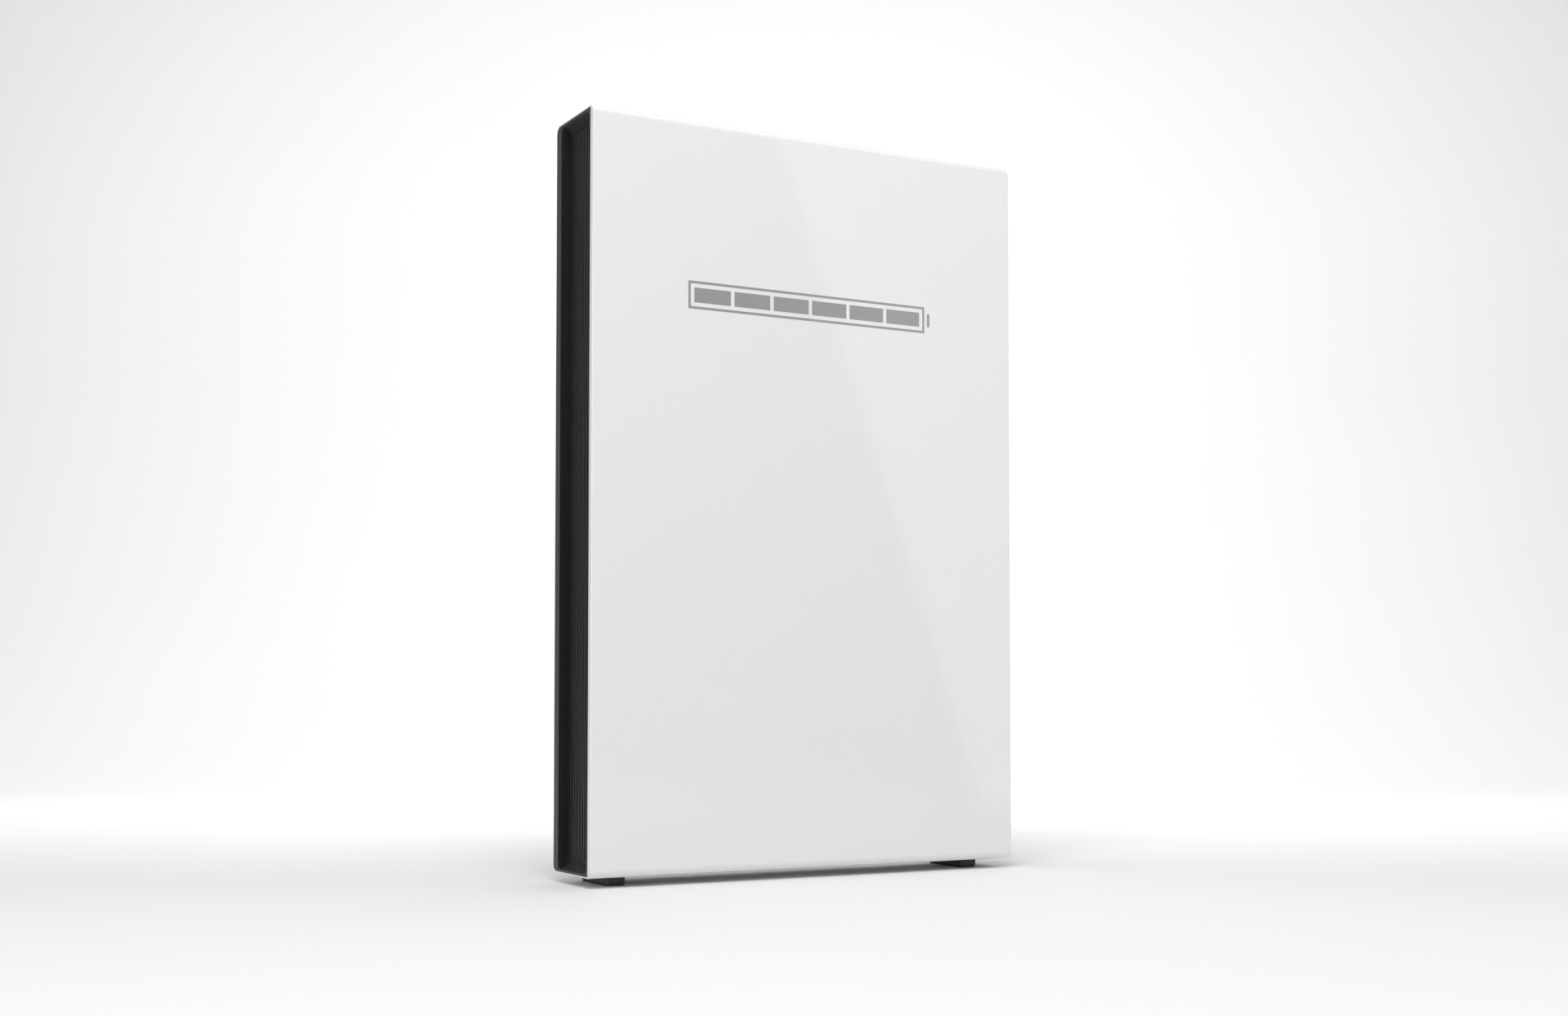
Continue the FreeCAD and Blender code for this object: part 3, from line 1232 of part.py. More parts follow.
os.makedirs("parts", exist_ok=True)
for label, item in PIECES.items():
    item.Shape.exportStep(f"parts/{label}.step")
    print(f"{label}: {len(item.Shape.Solids)} solids, {item.Shape.Volume / 1000:.1f} cm3")
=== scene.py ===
"""Looks for the home battery unit: studio, finishes and the detailed pieces of each sub-assembly.

Everything is in metres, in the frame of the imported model: X right, Y back, Z up, floor at zero.
"""

import json
import logging
import math
from dataclasses import dataclass, field
from enum import Enum
from typing import Iterable, Sequence, Union

import bmesh
import bpy
from mathutils import Matrix, Vector


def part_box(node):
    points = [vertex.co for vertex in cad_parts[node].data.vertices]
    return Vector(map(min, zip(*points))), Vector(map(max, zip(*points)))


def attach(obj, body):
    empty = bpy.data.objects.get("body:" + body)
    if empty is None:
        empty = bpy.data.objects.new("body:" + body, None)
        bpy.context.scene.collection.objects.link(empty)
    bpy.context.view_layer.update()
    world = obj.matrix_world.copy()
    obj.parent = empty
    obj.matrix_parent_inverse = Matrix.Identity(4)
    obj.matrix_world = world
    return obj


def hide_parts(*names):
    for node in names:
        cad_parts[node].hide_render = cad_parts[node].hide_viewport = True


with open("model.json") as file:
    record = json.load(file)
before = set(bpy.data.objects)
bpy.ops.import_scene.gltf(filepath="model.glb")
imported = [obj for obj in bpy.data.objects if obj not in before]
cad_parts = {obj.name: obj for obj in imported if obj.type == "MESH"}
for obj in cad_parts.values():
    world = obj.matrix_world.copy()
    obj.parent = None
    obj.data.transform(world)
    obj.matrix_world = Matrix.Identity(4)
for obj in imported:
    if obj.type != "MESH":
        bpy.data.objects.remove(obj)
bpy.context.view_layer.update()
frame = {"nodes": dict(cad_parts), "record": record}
LOG = logging.getLogger("home_battery")

Colour = tuple[float, float, float]
Number = Union["Signal", float]


class Axis(Enum):
    """A direction, with the turn that brings +Z onto it; FRONT is towards -Y."""

    X = Matrix.Rotation(math.radians(90), 4, "Y")
    Y = Matrix.Rotation(math.radians(-90), 4, "X")
    Z = Matrix.Identity(4)
    FRONT = Matrix.Rotation(math.radians(90), 4, "X")


class Body(Enum):
    """The rigid bodies that pieces ride on."""

    CHASSIS = "chassis"
    COVER = "cover"
    UPPER_ROTOR = "upper_rotor"
    LOWER_ROTOR = "lower_rotor"
    IMPELLER = "impeller"
    ROCKER = "rocker"


# ---------------------------------------------------------------- shader graph


@dataclass(frozen=True)
class Signal:
    """An output socket that carries a value; Python's operators on it add Math nodes."""

    graph: "Graph"
    socket: bpy.types.NodeSocket

    def math(self, operation: str, *others: Number) -> "Signal":
        """Add one Math node.

        Args:
            operation: the Math node's operation.
            others: the inputs that follow this one.

        Returns:
            The node's result.
        """
        inputs = dict(enumerate((self, *others)))
        return self.graph.node("ShaderNodeMath", {"operation": operation}, inputs)

    def __add__(self, other: Number) -> "Signal":
        """Sum."""
        return self.math("ADD", other)

    __radd__ = __add__

    def __mul__(self, other: Number) -> "Signal":
        """Product."""
        return self.math("MULTIPLY", other)

    __rmul__ = __mul__

    def __sub__(self, other: Number) -> "Signal":
        """Difference."""
        return self.math("SUBTRACT", other)

    def __rsub__(self, other: Number) -> "Signal":
        """Difference, with this socket second."""
        return (self * -1.0).math("ADD", other)

    def smooth(self, low: float, high: float) -> "Signal":
        """A smooth step from 0 at low to 1 at high."""
        settings = {"interpolation_type": "SMOOTHSTEP"}
        inputs = {"Value": self, "From Min": low, "From Max": high}
        return self.graph.node("ShaderNodeMapRange", settings, inputs)


class Graph:
    """One material's node tree, with a Principled shader at its end."""

    def __init__(self, name: str) -> None:
        """Start an empty material.

        Args:
            name: the material's name.
        """
        self.material = bpy.data.materials.new(name)
        self.material.use_nodes = True
        self.tree = self.material.node_tree
        self.tree.nodes.clear()
        self.shader = self.tree.nodes.new("ShaderNodeBsdfPrincipled")
        end = self.tree.nodes.new("ShaderNodeOutputMaterial")
        self.tree.links.new(self.shader.outputs["BSDF"], end.inputs["Surface"])
        self.place = self.node("ShaderNodeTexCoord", {}, {}, "Object")

    def node(self, kind: str, settings: dict, inputs: dict, output: Union[int, str] = 0) -> Signal:
        """Add any node.

        Args:
            kind: the node's type.
            settings: its own properties, set first.
            inputs: values or signals for its input sockets, by name or number.
            output: the output wanted, by name or number.

        Returns:
            That output.
        """
        made = self.tree.nodes.new(kind)
        for key, value in settings.items():
            setattr(made, key, value)
        for key, value in inputs.items():
            self.feed(made.inputs[key], value)
        return Signal(self, made.outputs[output])

    def feed(self, socket: bpy.types.NodeSocket, value: object) -> None:
        """Link a signal to a socket, or set the socket's own value."""
        if isinstance(value, Signal):
            self.tree.links.new(value.socket, socket)
        elif isinstance(value, tuple) and len(value) == 3 and socket.type == "RGBA":
            socket.default_value = (*value, 1.0)
        else:
            socket.default_value = value

    def noise(self, size: float, detail: float = 2.0, stretch: Colour = (1.0, 1.0, 1.0)) -> Signal:
        """Noise with features of a size in metres, stretched along the axes."""
        scale = self.node("ShaderNodeMapping", {}, {"Vector": self.place, "Scale": stretch})
        inputs = {"Vector": scale, "Scale": 1.0 / size, "Detail": detail}
        return self.node("ShaderNodeTexNoise", {}, inputs)

    def cells(self, size: float) -> Signal:
        """A cell pattern with cells of a size in metres."""
        return self.node("ShaderNodeTexVoronoi", {}, {"Vector": self.place, "Scale": 1.0 / size}, "Distance")

    def blend(self, share: Number, first: object, second: object) -> Signal:
        """Two colours mixed by a share."""
        inputs = {0: share, 6: first, 7: second}
        return self.node("ShaderNodeMix", {"data_type": "RGBA"}, inputs, 2)

    def tone(self, colour: Colour, gain: float) -> Colour:
        """A colour made lighter or darker."""
        return tuple(min(1.0, part * gain) for part in colour)

    def tint(self, share: Number, colour: Colour, low: float, high: float) -> None:
        """Let the base colour run between two gains of one colour."""
        self.set("Base Color", self.blend(share, self.tone(colour, low), self.tone(colour, high)))

    def bump(self, height: Signal, depth: float, strength: float = 1.0) -> None:
        """Feed a height to the shader's normal through one Bump node."""
        inputs = {"Height": height, "Distance": depth, "Strength": strength}
        self.set("Normal", self.node("ShaderNodeBump", {}, inputs))

    def set(self, name: str, value: object) -> None:
        """Set one input of the shader."""
        self.feed(self.shader.inputs[name], value)


# ---------------------------------------------------------------- finishes


@dataclass(frozen=True)
class Finish:
    """A finish: one procedural material, made once."""

    name: str
    colour: Colour
    roughness: float

    def paint(self, graph: Graph) -> None:
        """Add the finish's nodes."""
        raise NotImplementedError

    def material(self) -> bpy.types.Material:
        """The finish's material, made on first use."""
        made = bpy.data.materials.get(self.name)
        if made is None:
            graph = Graph(self.name)
            self.paint(graph)
            made = graph.material
        return made


@dataclass(frozen=True)
class PowderCoat(Finish):
    """Baked powder paint: a fine orange peel, and a faint cloudiness in its gloss."""

    peel: float = 0.0011
    depth: float = 0.00003
    coat: float = 0.0

    def paint(self, graph: Graph) -> None:
        """Colour with a faint cloud, peel bump and a varied roughness."""
        cloud = graph.noise(0.22, 3.0)
        speck = graph.noise(0.0005, 1.0)
        share = cloud * 0.6 + speck * 0.4
        graph.tint(share, self.colour, 0.985, 1.012)
        graph.set("Roughness", self.roughness * 0.92 + cloud * (self.roughness * 0.16))
        graph.set("Coat Weight", self.coat)
        graph.set("Coat Roughness", 0.06)
        graph.bump(graph.noise(self.peel, 2.0) + speck * 0.25, self.depth, 0.5)


@dataclass(frozen=True)
class Moulding(Finish):
    """Injection-moulded plastic with a spark-eroded grain and faint flow marks."""

    grain: float = 0.0006
    depth: float = 0.00005

    def paint(self, graph: Graph) -> None:
        """Grain bump and flow marks along the height."""
        flow = graph.noise(0.06, 3.0, (1.0, 1.0, 0.12))
        grain = graph.cells(self.grain)
        graph.tint(flow, self.colour, 0.86, 1.14)
        graph.set("Roughness", self.roughness * 0.88 + flow * (self.roughness * 0.2) + grain * 0.04)
        graph.set("Specular IOR Level", 0.34)
        graph.bump(grain + graph.noise(self.grain * 2.5, 2.0) * 0.6, self.depth, 0.6)


@dataclass(frozen=True)
class Brushed(Finish):
    """Metal with fine brush lines that run across the unit."""

    metallic: float = 1.0

    def paint(self, graph: Graph) -> None:
        """Lines stretched along X change colour, roughness and height."""
        lines = graph.noise(0.0004, 3.0, (0.02, 1.0, 1.0))
        graph.tint(lines, self.colour, 0.9, 1.1)
        graph.set("Metallic", self.metallic)
        graph.set("Roughness", self.roughness * 0.8 + lines * (self.roughness * 0.4))
        graph.bump(lines, 0.00002, 0.5)


@dataclass(frozen=True)
class RawMetal(Finish):
    """Bare cast, rolled or plated metal, cloudy, with a few dull patches."""

    patch: float = 0.02
    grain: float = 0.0007

    def paint(self, graph: Graph) -> None:
        """Patches change colour and roughness; the grain gives a soft bump."""
        dull = graph.noise(self.patch, 4.0).smooth(0.35, 0.75)
        graph.tint(dull, self.colour, 1.0, 0.9)
        graph.set("Metallic", 1.0)
        graph.set("Roughness", self.roughness + dull * 0.09)
        graph.bump(graph.noise(self.grain, 2.0), 0.00003, 0.5)


@dataclass(frozen=True)
class Rubber(Finish):
    """Matt rubber with a dusty bloom."""

    def paint(self, graph: Graph) -> None:
        """Bloom lightens the colour in patches over a fine grain."""
        bloom = graph.noise(0.012, 4.0).smooth(0.45, 0.75)
        graph.tint(bloom, self.colour, 1.0, 1.7)
        graph.set("Roughness", self.roughness + bloom * 0.08)
        graph.bump(graph.noise(0.0004, 2.0), 0.00004, 0.5)


@dataclass(frozen=True)
class Clear(Finish):
    """Smoked or milky clear plastic."""

    transmission: float = 0.5

    def paint(self, graph: Graph) -> None:
        """A tinted clear body with a slight haze."""
        haze = graph.noise(0.008, 2.0)
        graph.tint(haze, self.colour, 1.0, 1.2)
        graph.set("Roughness", self.roughness + haze * 0.05)
        graph.set("Transmission Weight", self.transmission)
        graph.set("IOR", 1.5)


@dataclass(frozen=True)
class Board(Finish):
    """Solder mask over copper traces."""

    pitch: float = 0.004

    def paint(self, graph: Graph) -> None:
        """Stepped cells give straight traces under the mask, with fine round vias."""
        inputs = {"Vector": graph.place, "Scale": 1.0 / self.pitch, "Randomness": 0.6}
        edge = graph.node("ShaderNodeTexVoronoi", {"distance": "CHEBYCHEV", "feature": "F1"}, inputs)
        trace = edge.smooth(0.32, 0.36) * (1.0 - edge.smooth(0.42, 0.46))
        via = 1.0 - graph.cells(self.pitch * 0.6).smooth(0.08, 0.12)
        shown = graph.blend(trace, self.colour, graph.tone(self.colour, 1.9))
        graph.set("Base Color", graph.blend(via, shown, (0.75, 0.6, 0.32)))
        graph.set("Metallic", via * 0.9)
        graph.set("Roughness", self.roughness + trace * 0.08)
        graph.bump(trace + via * 0.5, 0.00004, 0.6)


WHITE_COAT = PowderCoat("white_gloss_paint", (0.80, 0.80, 0.80), 0.45, depth=0.000004, coat=1.0)
BLACK_COAT = PowderCoat("black_powder_coat", (0.022, 0.022, 0.023), 0.5, depth=0.00005)
BLACK_MOULDING = Moulding("black_moulding", (0.014, 0.014, 0.015), 0.36)
GREY_MOULDING = Moulding("grey_moulding", (0.16, 0.165, 0.17), 0.5)
GLOSS_MOULDING = Moulding("polished_black_moulding", (0.012, 0.012, 0.012), 0.2, depth=0.00001)
GREEN_MOULDING = Moulding("terminal_green_moulding", (0.03, 0.2, 0.08), 0.38, depth=0.00002)
INLAY = Brushed("satin_grey_inlay", (0.34, 0.34, 0.34), 0.42, metallic=0.5)
ALUMINIUM = RawMetal("bare_aluminium", (0.62, 0.63, 0.64), 0.36)
ZINC = RawMetal("zinc_plated_steel", (0.56, 0.55, 0.5), 0.3, patch=0.004)
BRASS = RawMetal("turned_brass", (0.72, 0.52, 0.22), 0.26, patch=0.006)
COPPER = RawMetal("bare_copper", (0.78, 0.36, 0.2), 0.28, patch=0.01)
RUBBER = Rubber("matt_rubber", (0.012, 0.012, 0.012), 0.78)
SMOKED = Clear("smoked_clear_plastic", (0.02, 0.025, 0.025), 0.12)
MILKY = Clear("milky_tank_plastic", (0.62, 0.64, 0.62), 0.34, transmission=0.35)
MASK = Board("green_solder_mask", (0.012, 0.09, 0.035), 0.3)
CERAMIC = Moulding("fuse_ceramic", (0.72, 0.7, 0.64), 0.35, depth=0.00002)
ORANGE_MOULDING = Moulding("orange_moulding", (0.75, 0.16, 0.01), 0.38, depth=0.00002)
CELL_WRAP = Moulding("cell_wrap", (0.03, 0.14, 0.3), 0.26, depth=0.00001)

SLOT_FINISHES = {
    "cover_white": WHITE_COAT, "emblem_metal": INLAY, "zinc_steel": ZINC, "black_plastic": BLACK_MOULDING,
    "housing_metal": BLACK_COAT, "smoked_glass": SMOKED, "circuit_board": MASK, "gloss_black": GLOSS_MOULDING,
    "foot_metal": BLACK_COAT, "pad_rubber": RUBBER, "brass_parts": BRASS, "cast_aluminium": ALUMINIUM,
    "grey_plastic": GREY_MOULDING, "cell_blocks": CELL_WRAP, "copper_bars": COPPER, "ceramic_fuse": CERAMIC,
    "terminal_green": GREEN_MOULDING,
}

NODE_SLOTS = {part["node"]: part["material_slot"] for part in frame["record"]["subparts"]}


def dress_frame() -> None:
    """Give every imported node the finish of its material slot."""
    for node, piece in frame["nodes"].items():
        piece.data.materials.clear()
        piece.data.materials.append(SLOT_FINISHES[NODE_SLOTS[node]].material())


# ---------------------------------------------------------------- studio


@dataclass(frozen=True)
class Lamp:
    """One rectangular soft light."""

    name: str
    place: Colour
    aim: Colour
    size: tuple[float, float]
    power: float
    roll: float = 0.0
    glossy_only: bool = False

    def build(self) -> None:
        """Hang the light and turn it to face its aim."""
        data = bpy.data.lights.new(self.name, "AREA")
        data.shape = "RECTANGLE"
        data.size, data.size_y = self.size
        data.energy = self.power
        item = bpy.data.objects.new(self.name, data)
        turn = (Vector(self.aim) - Vector(self.place)).to_track_quat("-Z", "Y")
        item.location = self.place
        item.rotation_euler = (turn.to_matrix() @ Matrix.Rotation(math.radians(self.roll), 3, "Z")).to_euler()
        item.visible_camera = False
        item.visible_diffuse = not self.glossy_only
        bpy.context.scene.collection.objects.link(item)


@dataclass
class Studio:
    """Camera, floor and soft light."""

    lamps: tuple[Lamp, ...] = (
        Lamp("overhead", (0.0, -0.3, 3.4), (0.0, 0.1, 0.0), (3.6, 3.0), 17.0),
        Lamp("wall_glow", (0.43, 0.79, 2.7), (2.2, 4.0, 1.3), (6.0, 1.4), 111.0),
        Lamp("floor_glow", (-1.4, -2.2, 3.6), (-0.4, -0.9, 0.0), (2.4, 2.4), 93.0),
        Lamp("gloss_card", (1.56, -1.6, 0.97), (1.56, 0.0, 0.97), (1.0, 2.2), 7.2, 19.8, True),
        Lamp("edge_card", (-2.2, -0.85, 0.6), (-0.38, -0.07, 0.6), (0.5, 1.8), 38.0, 0.0, True),
    )
    air: float = 0.51
    eye: Vector = field(default_factory=lambda: Vector((-1.4885, -2.676, 0.2889)))
    turn: float = -28.89
    tilt: float = 2.46
    lens: float = 44.0
    rise: float = 0.065
    floor_span: float = 9.0
    wall_start: float = 2.6
    wall_radius: float = 2.2
    wall_height: float = 5.0

    def camera(self) -> None:
        """Place the camera."""
        data = bpy.data.cameras.new("camera")
        data.lens = self.lens
        data.sensor_width = 36.0
        data.shift_y = self.rise
        item = bpy.data.objects.new("camera", data)
        item.location = self.eye
        item.rotation_euler = (math.radians(90.0 + self.tilt), 0.0, math.radians(self.turn))
        bpy.context.scene.collection.objects.link(item)
        bpy.context.scene.camera = item

    def backdrop(self) -> bpy.types.Object:
        """A pale floor that curves up into a wall behind the unit.

        Returns:
            The floor's object.
        """
        shape = Shape()
        mesh = shape.mesh
        span, start = self.floor_span, self.wall_start
        edge = [mesh.verts.new((side * span, -span, 0.0)) for side in (-1, 1)]
        strip = mesh.edges.new(edge)
        floor = bmesh.ops.extrude_edge_only(mesh, edges=[strip])
        ends, edges = only(bmesh.types.BMVert, floor["geom"]), only(bmesh.types.BMEdge, floor["geom"])
        bmesh.ops.translate(mesh, verts=ends, vec=(0.0, span + start, 0.0))
        centre = (0.0, start, self.wall_radius)
        curve = bmesh.ops.spin(mesh, geom=ends + edges, cent=centre, axis=(1.0, 0.0, 0.0),
                               angle=math.radians(90), steps=24)
        wall = bmesh.ops.extrude_edge_only(mesh, edges=only(bmesh.types.BMEdge, curve["geom_last"]))
        ends = only(bmesh.types.BMVert, wall["geom"])
        bmesh.ops.translate(mesh, verts=ends, vec=(0.0, 0.0, self.wall_height))
        bmesh.ops.rotate(mesh, verts=mesh.verts, cent=(0.0, 0.0, 0.0),
                         matrix=Matrix.Rotation(math.radians(self.turn), 3, "Z"))
        item = shape.object("studio_floor")
        graph = Graph("studio_paper")
        graph.set("Base Color", graph.blend(graph.noise(0.9, 2.0), (0.83, 0.83, 0.83), (0.85, 0.85, 0.85)))
        graph.set("Roughness", 0.75)
        graph.set("Specular IOR Level", 0.2)
        item.data.materials.append(graph.material)
        return item

    def light(self) -> None:
        """An even white room, soft boxes, and cards that only show in glossy paint."""
        world = bpy.data.worlds.new("studio_air")
        world.use_nodes = True
        air = world.node_tree.nodes["Background"]
        air.inputs["Color"].default_value = (1.0, 1.0, 1.0, 1.0)
        air.inputs["Strength"].default_value = self.air
        bpy.context.scene.world = world
        bpy.context.scene.view_settings.view_transform = "Standard"
        for lamp in self.lamps:
            lamp.build()

    def build(self) -> None:
        """Set up the whole studio."""
        self.camera()
        self.backdrop()
        self.light()


# ---------------------------------------------------------------- mesh helpers


@dataclass(frozen=True)
class Box:
    """An upright box of one solid."""

    low: Vector
    high: Vector

    @property
    def centre(self) -> Vector:
        """Middle point."""
        return (self.low + self.high) / 2

    @property
    def size(self) -> Vector:
        """Length of each side."""
        return self.high - self.low


def node_box(node: str) -> Box:
    """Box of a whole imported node."""
    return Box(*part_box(node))


def solids(node: str) -> list[Box]:
    """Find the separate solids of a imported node.

    Args:
        node: the node's name.

    Returns:
        Their boxes, in order of height, then of X, then of Y.
    """
    mesh = bmesh.new()
    mesh.from_mesh(frame["nodes"][node].data)
    bmesh.ops.remove_doubles(mesh, verts=mesh.verts, dist=1e-6)
    waiting, boxes = set(mesh.verts), []
    while waiting:
        reached, edge = set(), [next(iter(waiting))]
        while edge:
            vert = edge.pop()
            if vert not in reached:
                reached.add(vert)
                edge.extend(link.other_vert(vert) for link in vert.link_edges)
        waiting -= reached
        places = [vert.co for vert in reached]
        boxes.append(Box(Vector(map(min, zip(*places))), Vector(map(max, zip(*places)))))
    mesh.free()
    return sorted(boxes, key=lambda box: tuple(round(box.low[axis], 4) for axis in (2, 0, 1)))


def once(items: Iterable[object]) -> list:
    """The items without repeats, in the order in which they first come."""
    return list(dict.fromkeys(items))


def only(kind: type, items: Iterable[object]) -> list:
    """The mesh elements of one kind in a mixed list."""
    return [item for item in items if isinstance(item, kind)]


def ring(centre: Vector, axis: Axis, radius: float, count: int, start: float = 0.0) -> list[Vector]:
    """Places spread evenly round an axis.

    Args:
        centre: middle of the ring.
        axis: the ring's axis.
        radius: the ring's radius.
        count: how many places.
        start: where the first one stands, as a share of the step between two.

    Returns:
        The places, in order round the ring.
    """
    places = []
    for number in range(count):
        turn = math.tau * (number + start) / count
        out, up = math.cos(turn) * radius, math.sin(turn) * radius
        offset = {Axis.X: (0.0, out, up), Axis.Y: (out, 0.0, up), Axis.Z: (out, up, 0.0)}[axis]
        places.append(centre + Vector(offset))
    return places


class Shape:
    """One piece's mesh, put together from simple solids."""

    SOFT_ANGLE = 14.0
    BEVEL_ANGLE = 38.0
    FLAT_RATIO = 4.0

    def __init__(self) -> None:
        """Start empty."""
        self.mesh = bmesh.new()

    def bevel(self, edges: Iterable[bmesh.types.BMEdge], width: float, segments: int) -> None:
        """Round some edges."""
        bmesh.ops.bevel(self.mesh, geom=list(edges), offset=width, segments=segments, profile=0.5,
                        affect="EDGES", material=-1)

    def box(self, low: Sequence[float], high: Sequence[float], edge: float = 0.0005,
            segments: int = 2) -> None:
        """Add a box with rounded edges between two corners."""
        low, high = Vector(low), Vector(high)
        matrix = Matrix.Translation((low + high) / 2) @ Matrix.Diagonal((*(high - low), 1.0))
        verts = bmesh.ops.create_cube(self.mesh, size=1.0, matrix=matrix)["verts"]
        if edge:
            self.bevel(once(link for vert in verts for link in vert.link_edges), edge, segments)

    def rod(self, centre: Sequence[float], axis: Axis, radius: float, length: float, edge: float = 0.0,
            sides: int = 28, tip: Union[float, None] = None) -> None:
        """Add a cylinder or cone about an axis.

        Args:
            centre: its middle.
            axis: the direction of its length.
            radius: radius at the axis's low end.
            length: its length.
            edge: rounding of both ends.
            sides: faces around it.
            tip: radius at the high end, if it differs.
        """
        matrix = Matrix.Translation(centre) @ axis.value
        made = bmesh.ops.create_cone(self.mesh, cap_ends=True, segments=sides, radius1=radius,
                                     radius2=radius if tip is None else tip, depth=length, matrix=matrix)
        if edge:
            caps = once(face for vert in made["verts"] for face in vert.link_faces
                        if len(face.verts) == sides)
            self.bevel(once(link for cap in caps for link in cap.edges), edge, 2)

    def turned(self, outline: Sequence[tuple[float, float]], centre: Sequence[float], axis: Axis,
               steps: int = 40) -> None:
        """Spin an outline of (radius, height) points once round an axis.

        Args:
            outline: the points, in order; the last joins the first unless both lie on the axis.
            centre: where the outline's origin goes.
            axis: the direction of its height.
            steps: faces around it.
        """
        verts = [self.mesh.verts.new((radius, 0.0, height)) for radius, height in outline]
        pairs = list(zip(verts, verts[1:]))
        if outline[0][0] > 0.0 or outline[-1][0] > 0.0:
            pairs.append((verts[-1], verts[0]))
        edges = [self.mesh.edges.new(pair) for pair in pairs]
        before = set(self.mesh.verts) - set(verts)
        bmesh.ops.spin(self.mesh, geom=verts + edges, cent=(0.0, 0.0, 0.0), axis=(0.0, 0.0, 1.0),
                       angle=math.tau, steps=steps, use_merge=True)
        fresh = [vert for vert in self.mesh.verts if vert not in before]
        bmesh.ops.remove_doubles(self.mesh, verts=fresh, dist=1e-7)
        fresh = [vert for vert in self.mesh.verts if vert not in before]
        bmesh.ops.transform(self.mesh, matrix=Matrix.Translation(centre) @ axis.value, verts=fresh)

    def pipe(self, points: Sequence[Sequence[float]], radius: float, bend: float, sides: int = 14) -> None:
        """Sweep a round section along straight legs with round bends.

        Args:
            points: the ends and corners of the centre line.
            radius: radius of the section.
            bend: bend radius at the corners.
            sides: faces around it.
        """
        path = [Vector(point) for point in points]
        heading = (path[1] - path[0]).normalized()
        matrix = Matrix.Translation(path[0]) @ heading.to_track_quat("Z", "Y").to_matrix().to_4x4()
        start = bmesh.ops.create_circle(self.mesh, segments=sides, radius=radius, matrix=matrix)["verts"]
        loop = once(link for vert in start for link in vert.link_edges)
        first, here = list(loop), path[0]
        for corner, after in zip(path[1:], path[2:] + [None]):
            turn = 0.0 if after is None else heading.angle(after - corner)
            stop = corner - heading * bend * math.tan(turn / 2)
            loop = self.drawn(loop, stop - here)
            here = stop
            if after is not None:
                leaving = (after - corner).normalized()
                across = (leaving - heading * heading.dot(leaving)).normalized()
                axis = heading.cross(leaving).normalized()
                ends = once(vert for link in loop for vert in link.verts)
                made = bmesh.ops.spin(self.mesh, geom=loop + ends,
                                      cent=here + across * bend, axis=axis, angle=turn, steps=8)
                loop = only(bmesh.types.BMEdge, made["geom_last"])
                heading = leaving
                here = corner + leaving * bend * math.tan(turn / 2)
        for end in (first, loop):
            bmesh.ops.edgeloop_fill(self.mesh, edges=end)

    def drawn(self, loop: list[bmesh.types.BMEdge], step: Vector) -> list[bmesh.types.BMEdge]:
        """Extrude a loop of edges by a step and return the new loop."""
        made = bmesh.ops.extrude_edge_only(self.mesh, edges=loop)["geom"]
        verts = only(bmesh.types.BMVert, made)
        bmesh.ops.translate(self.mesh, verts=verts, vec=step)
        return [edge for edge in only(bmesh.types.BMEdge, made) if all(vert in verts for vert in edge.verts)]

    def stamp(self, pattern: bpy.types.Mesh, matrix: Matrix) -> None:
        """Add a copy of a pattern mesh, moved by a matrix."""
        start = len(self.mesh.verts)
        self.mesh.from_mesh(pattern)
        self.mesh.verts.ensure_lookup_table()
        bmesh.ops.transform(self.mesh, matrix=matrix, verts=self.mesh.verts[start:])

    def pattern(self, name: str) -> bpy.types.Mesh:
        """End the shape as a mesh for stamping."""
        bmesh.ops.recalc_face_normals(self.mesh, faces=self.mesh.faces)
        data = bpy.data.meshes.new(name)
        self.mesh.to_mesh(data)
        self.mesh.free()
        return data

    def crease(self) -> None:
        """Smooth every face, but keep hard corners and the rims of large flats crisp."""
        for face in self.mesh.faces:
            face.smooth = True
        for edge in self.mesh.edges:
            if len(edge.link_faces) == 2:
                angle = math.degrees(edge.calc_face_angle(0.0))
                small, large = sorted(face.calc_area() for face in edge.link_faces)
                rounded = angle < self.BEVEL_ANGLE and large < small * self.FLAT_RATIO
                edge.smooth = angle < self.SOFT_ANGLE or rounded

    def object(self, name: str) -> bpy.types.Object:
        """End the shape as an object."""
        self.crease()
        data = self.pattern(name)
        item = bpy.data.objects.new(name, data)
        bpy.context.scene.collection.objects.link(item)
        return item


class SubAssembly:
    """A group of pieces that belong together."""

    def fit(self, name: str, shape: Shape, slot: str, body: Body = Body.CHASSIS,
            stands_for: Sequence[str] = (), finish: Union[Finish, None] = None) -> bpy.types.Object:
        """End a shape as a piece of the unit.

        Args:
            name: the piece's name.
            shape: its mesh.
            slot: the record's slot that its material belongs to.
            body: the body that it moves with.
            stands_for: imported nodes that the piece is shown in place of.
            finish: its finish, where it isn't the slot's own.

        Returns:
            The piece.
        """
        item = shape.object(name)
        item.data.materials.append((finish or SLOT_FINISHES[slot]).material())
        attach(item, body.value)
        if stands_for:
            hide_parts(*stands_for)
        LOG.info("%s: %d faces on %s", name, len(item.data.polygons), body.value)
        return item

    def build(self) -> None:
        """Make every piece."""
        raise NotImplementedError


# ---------------------------------------------------------------- broken edges


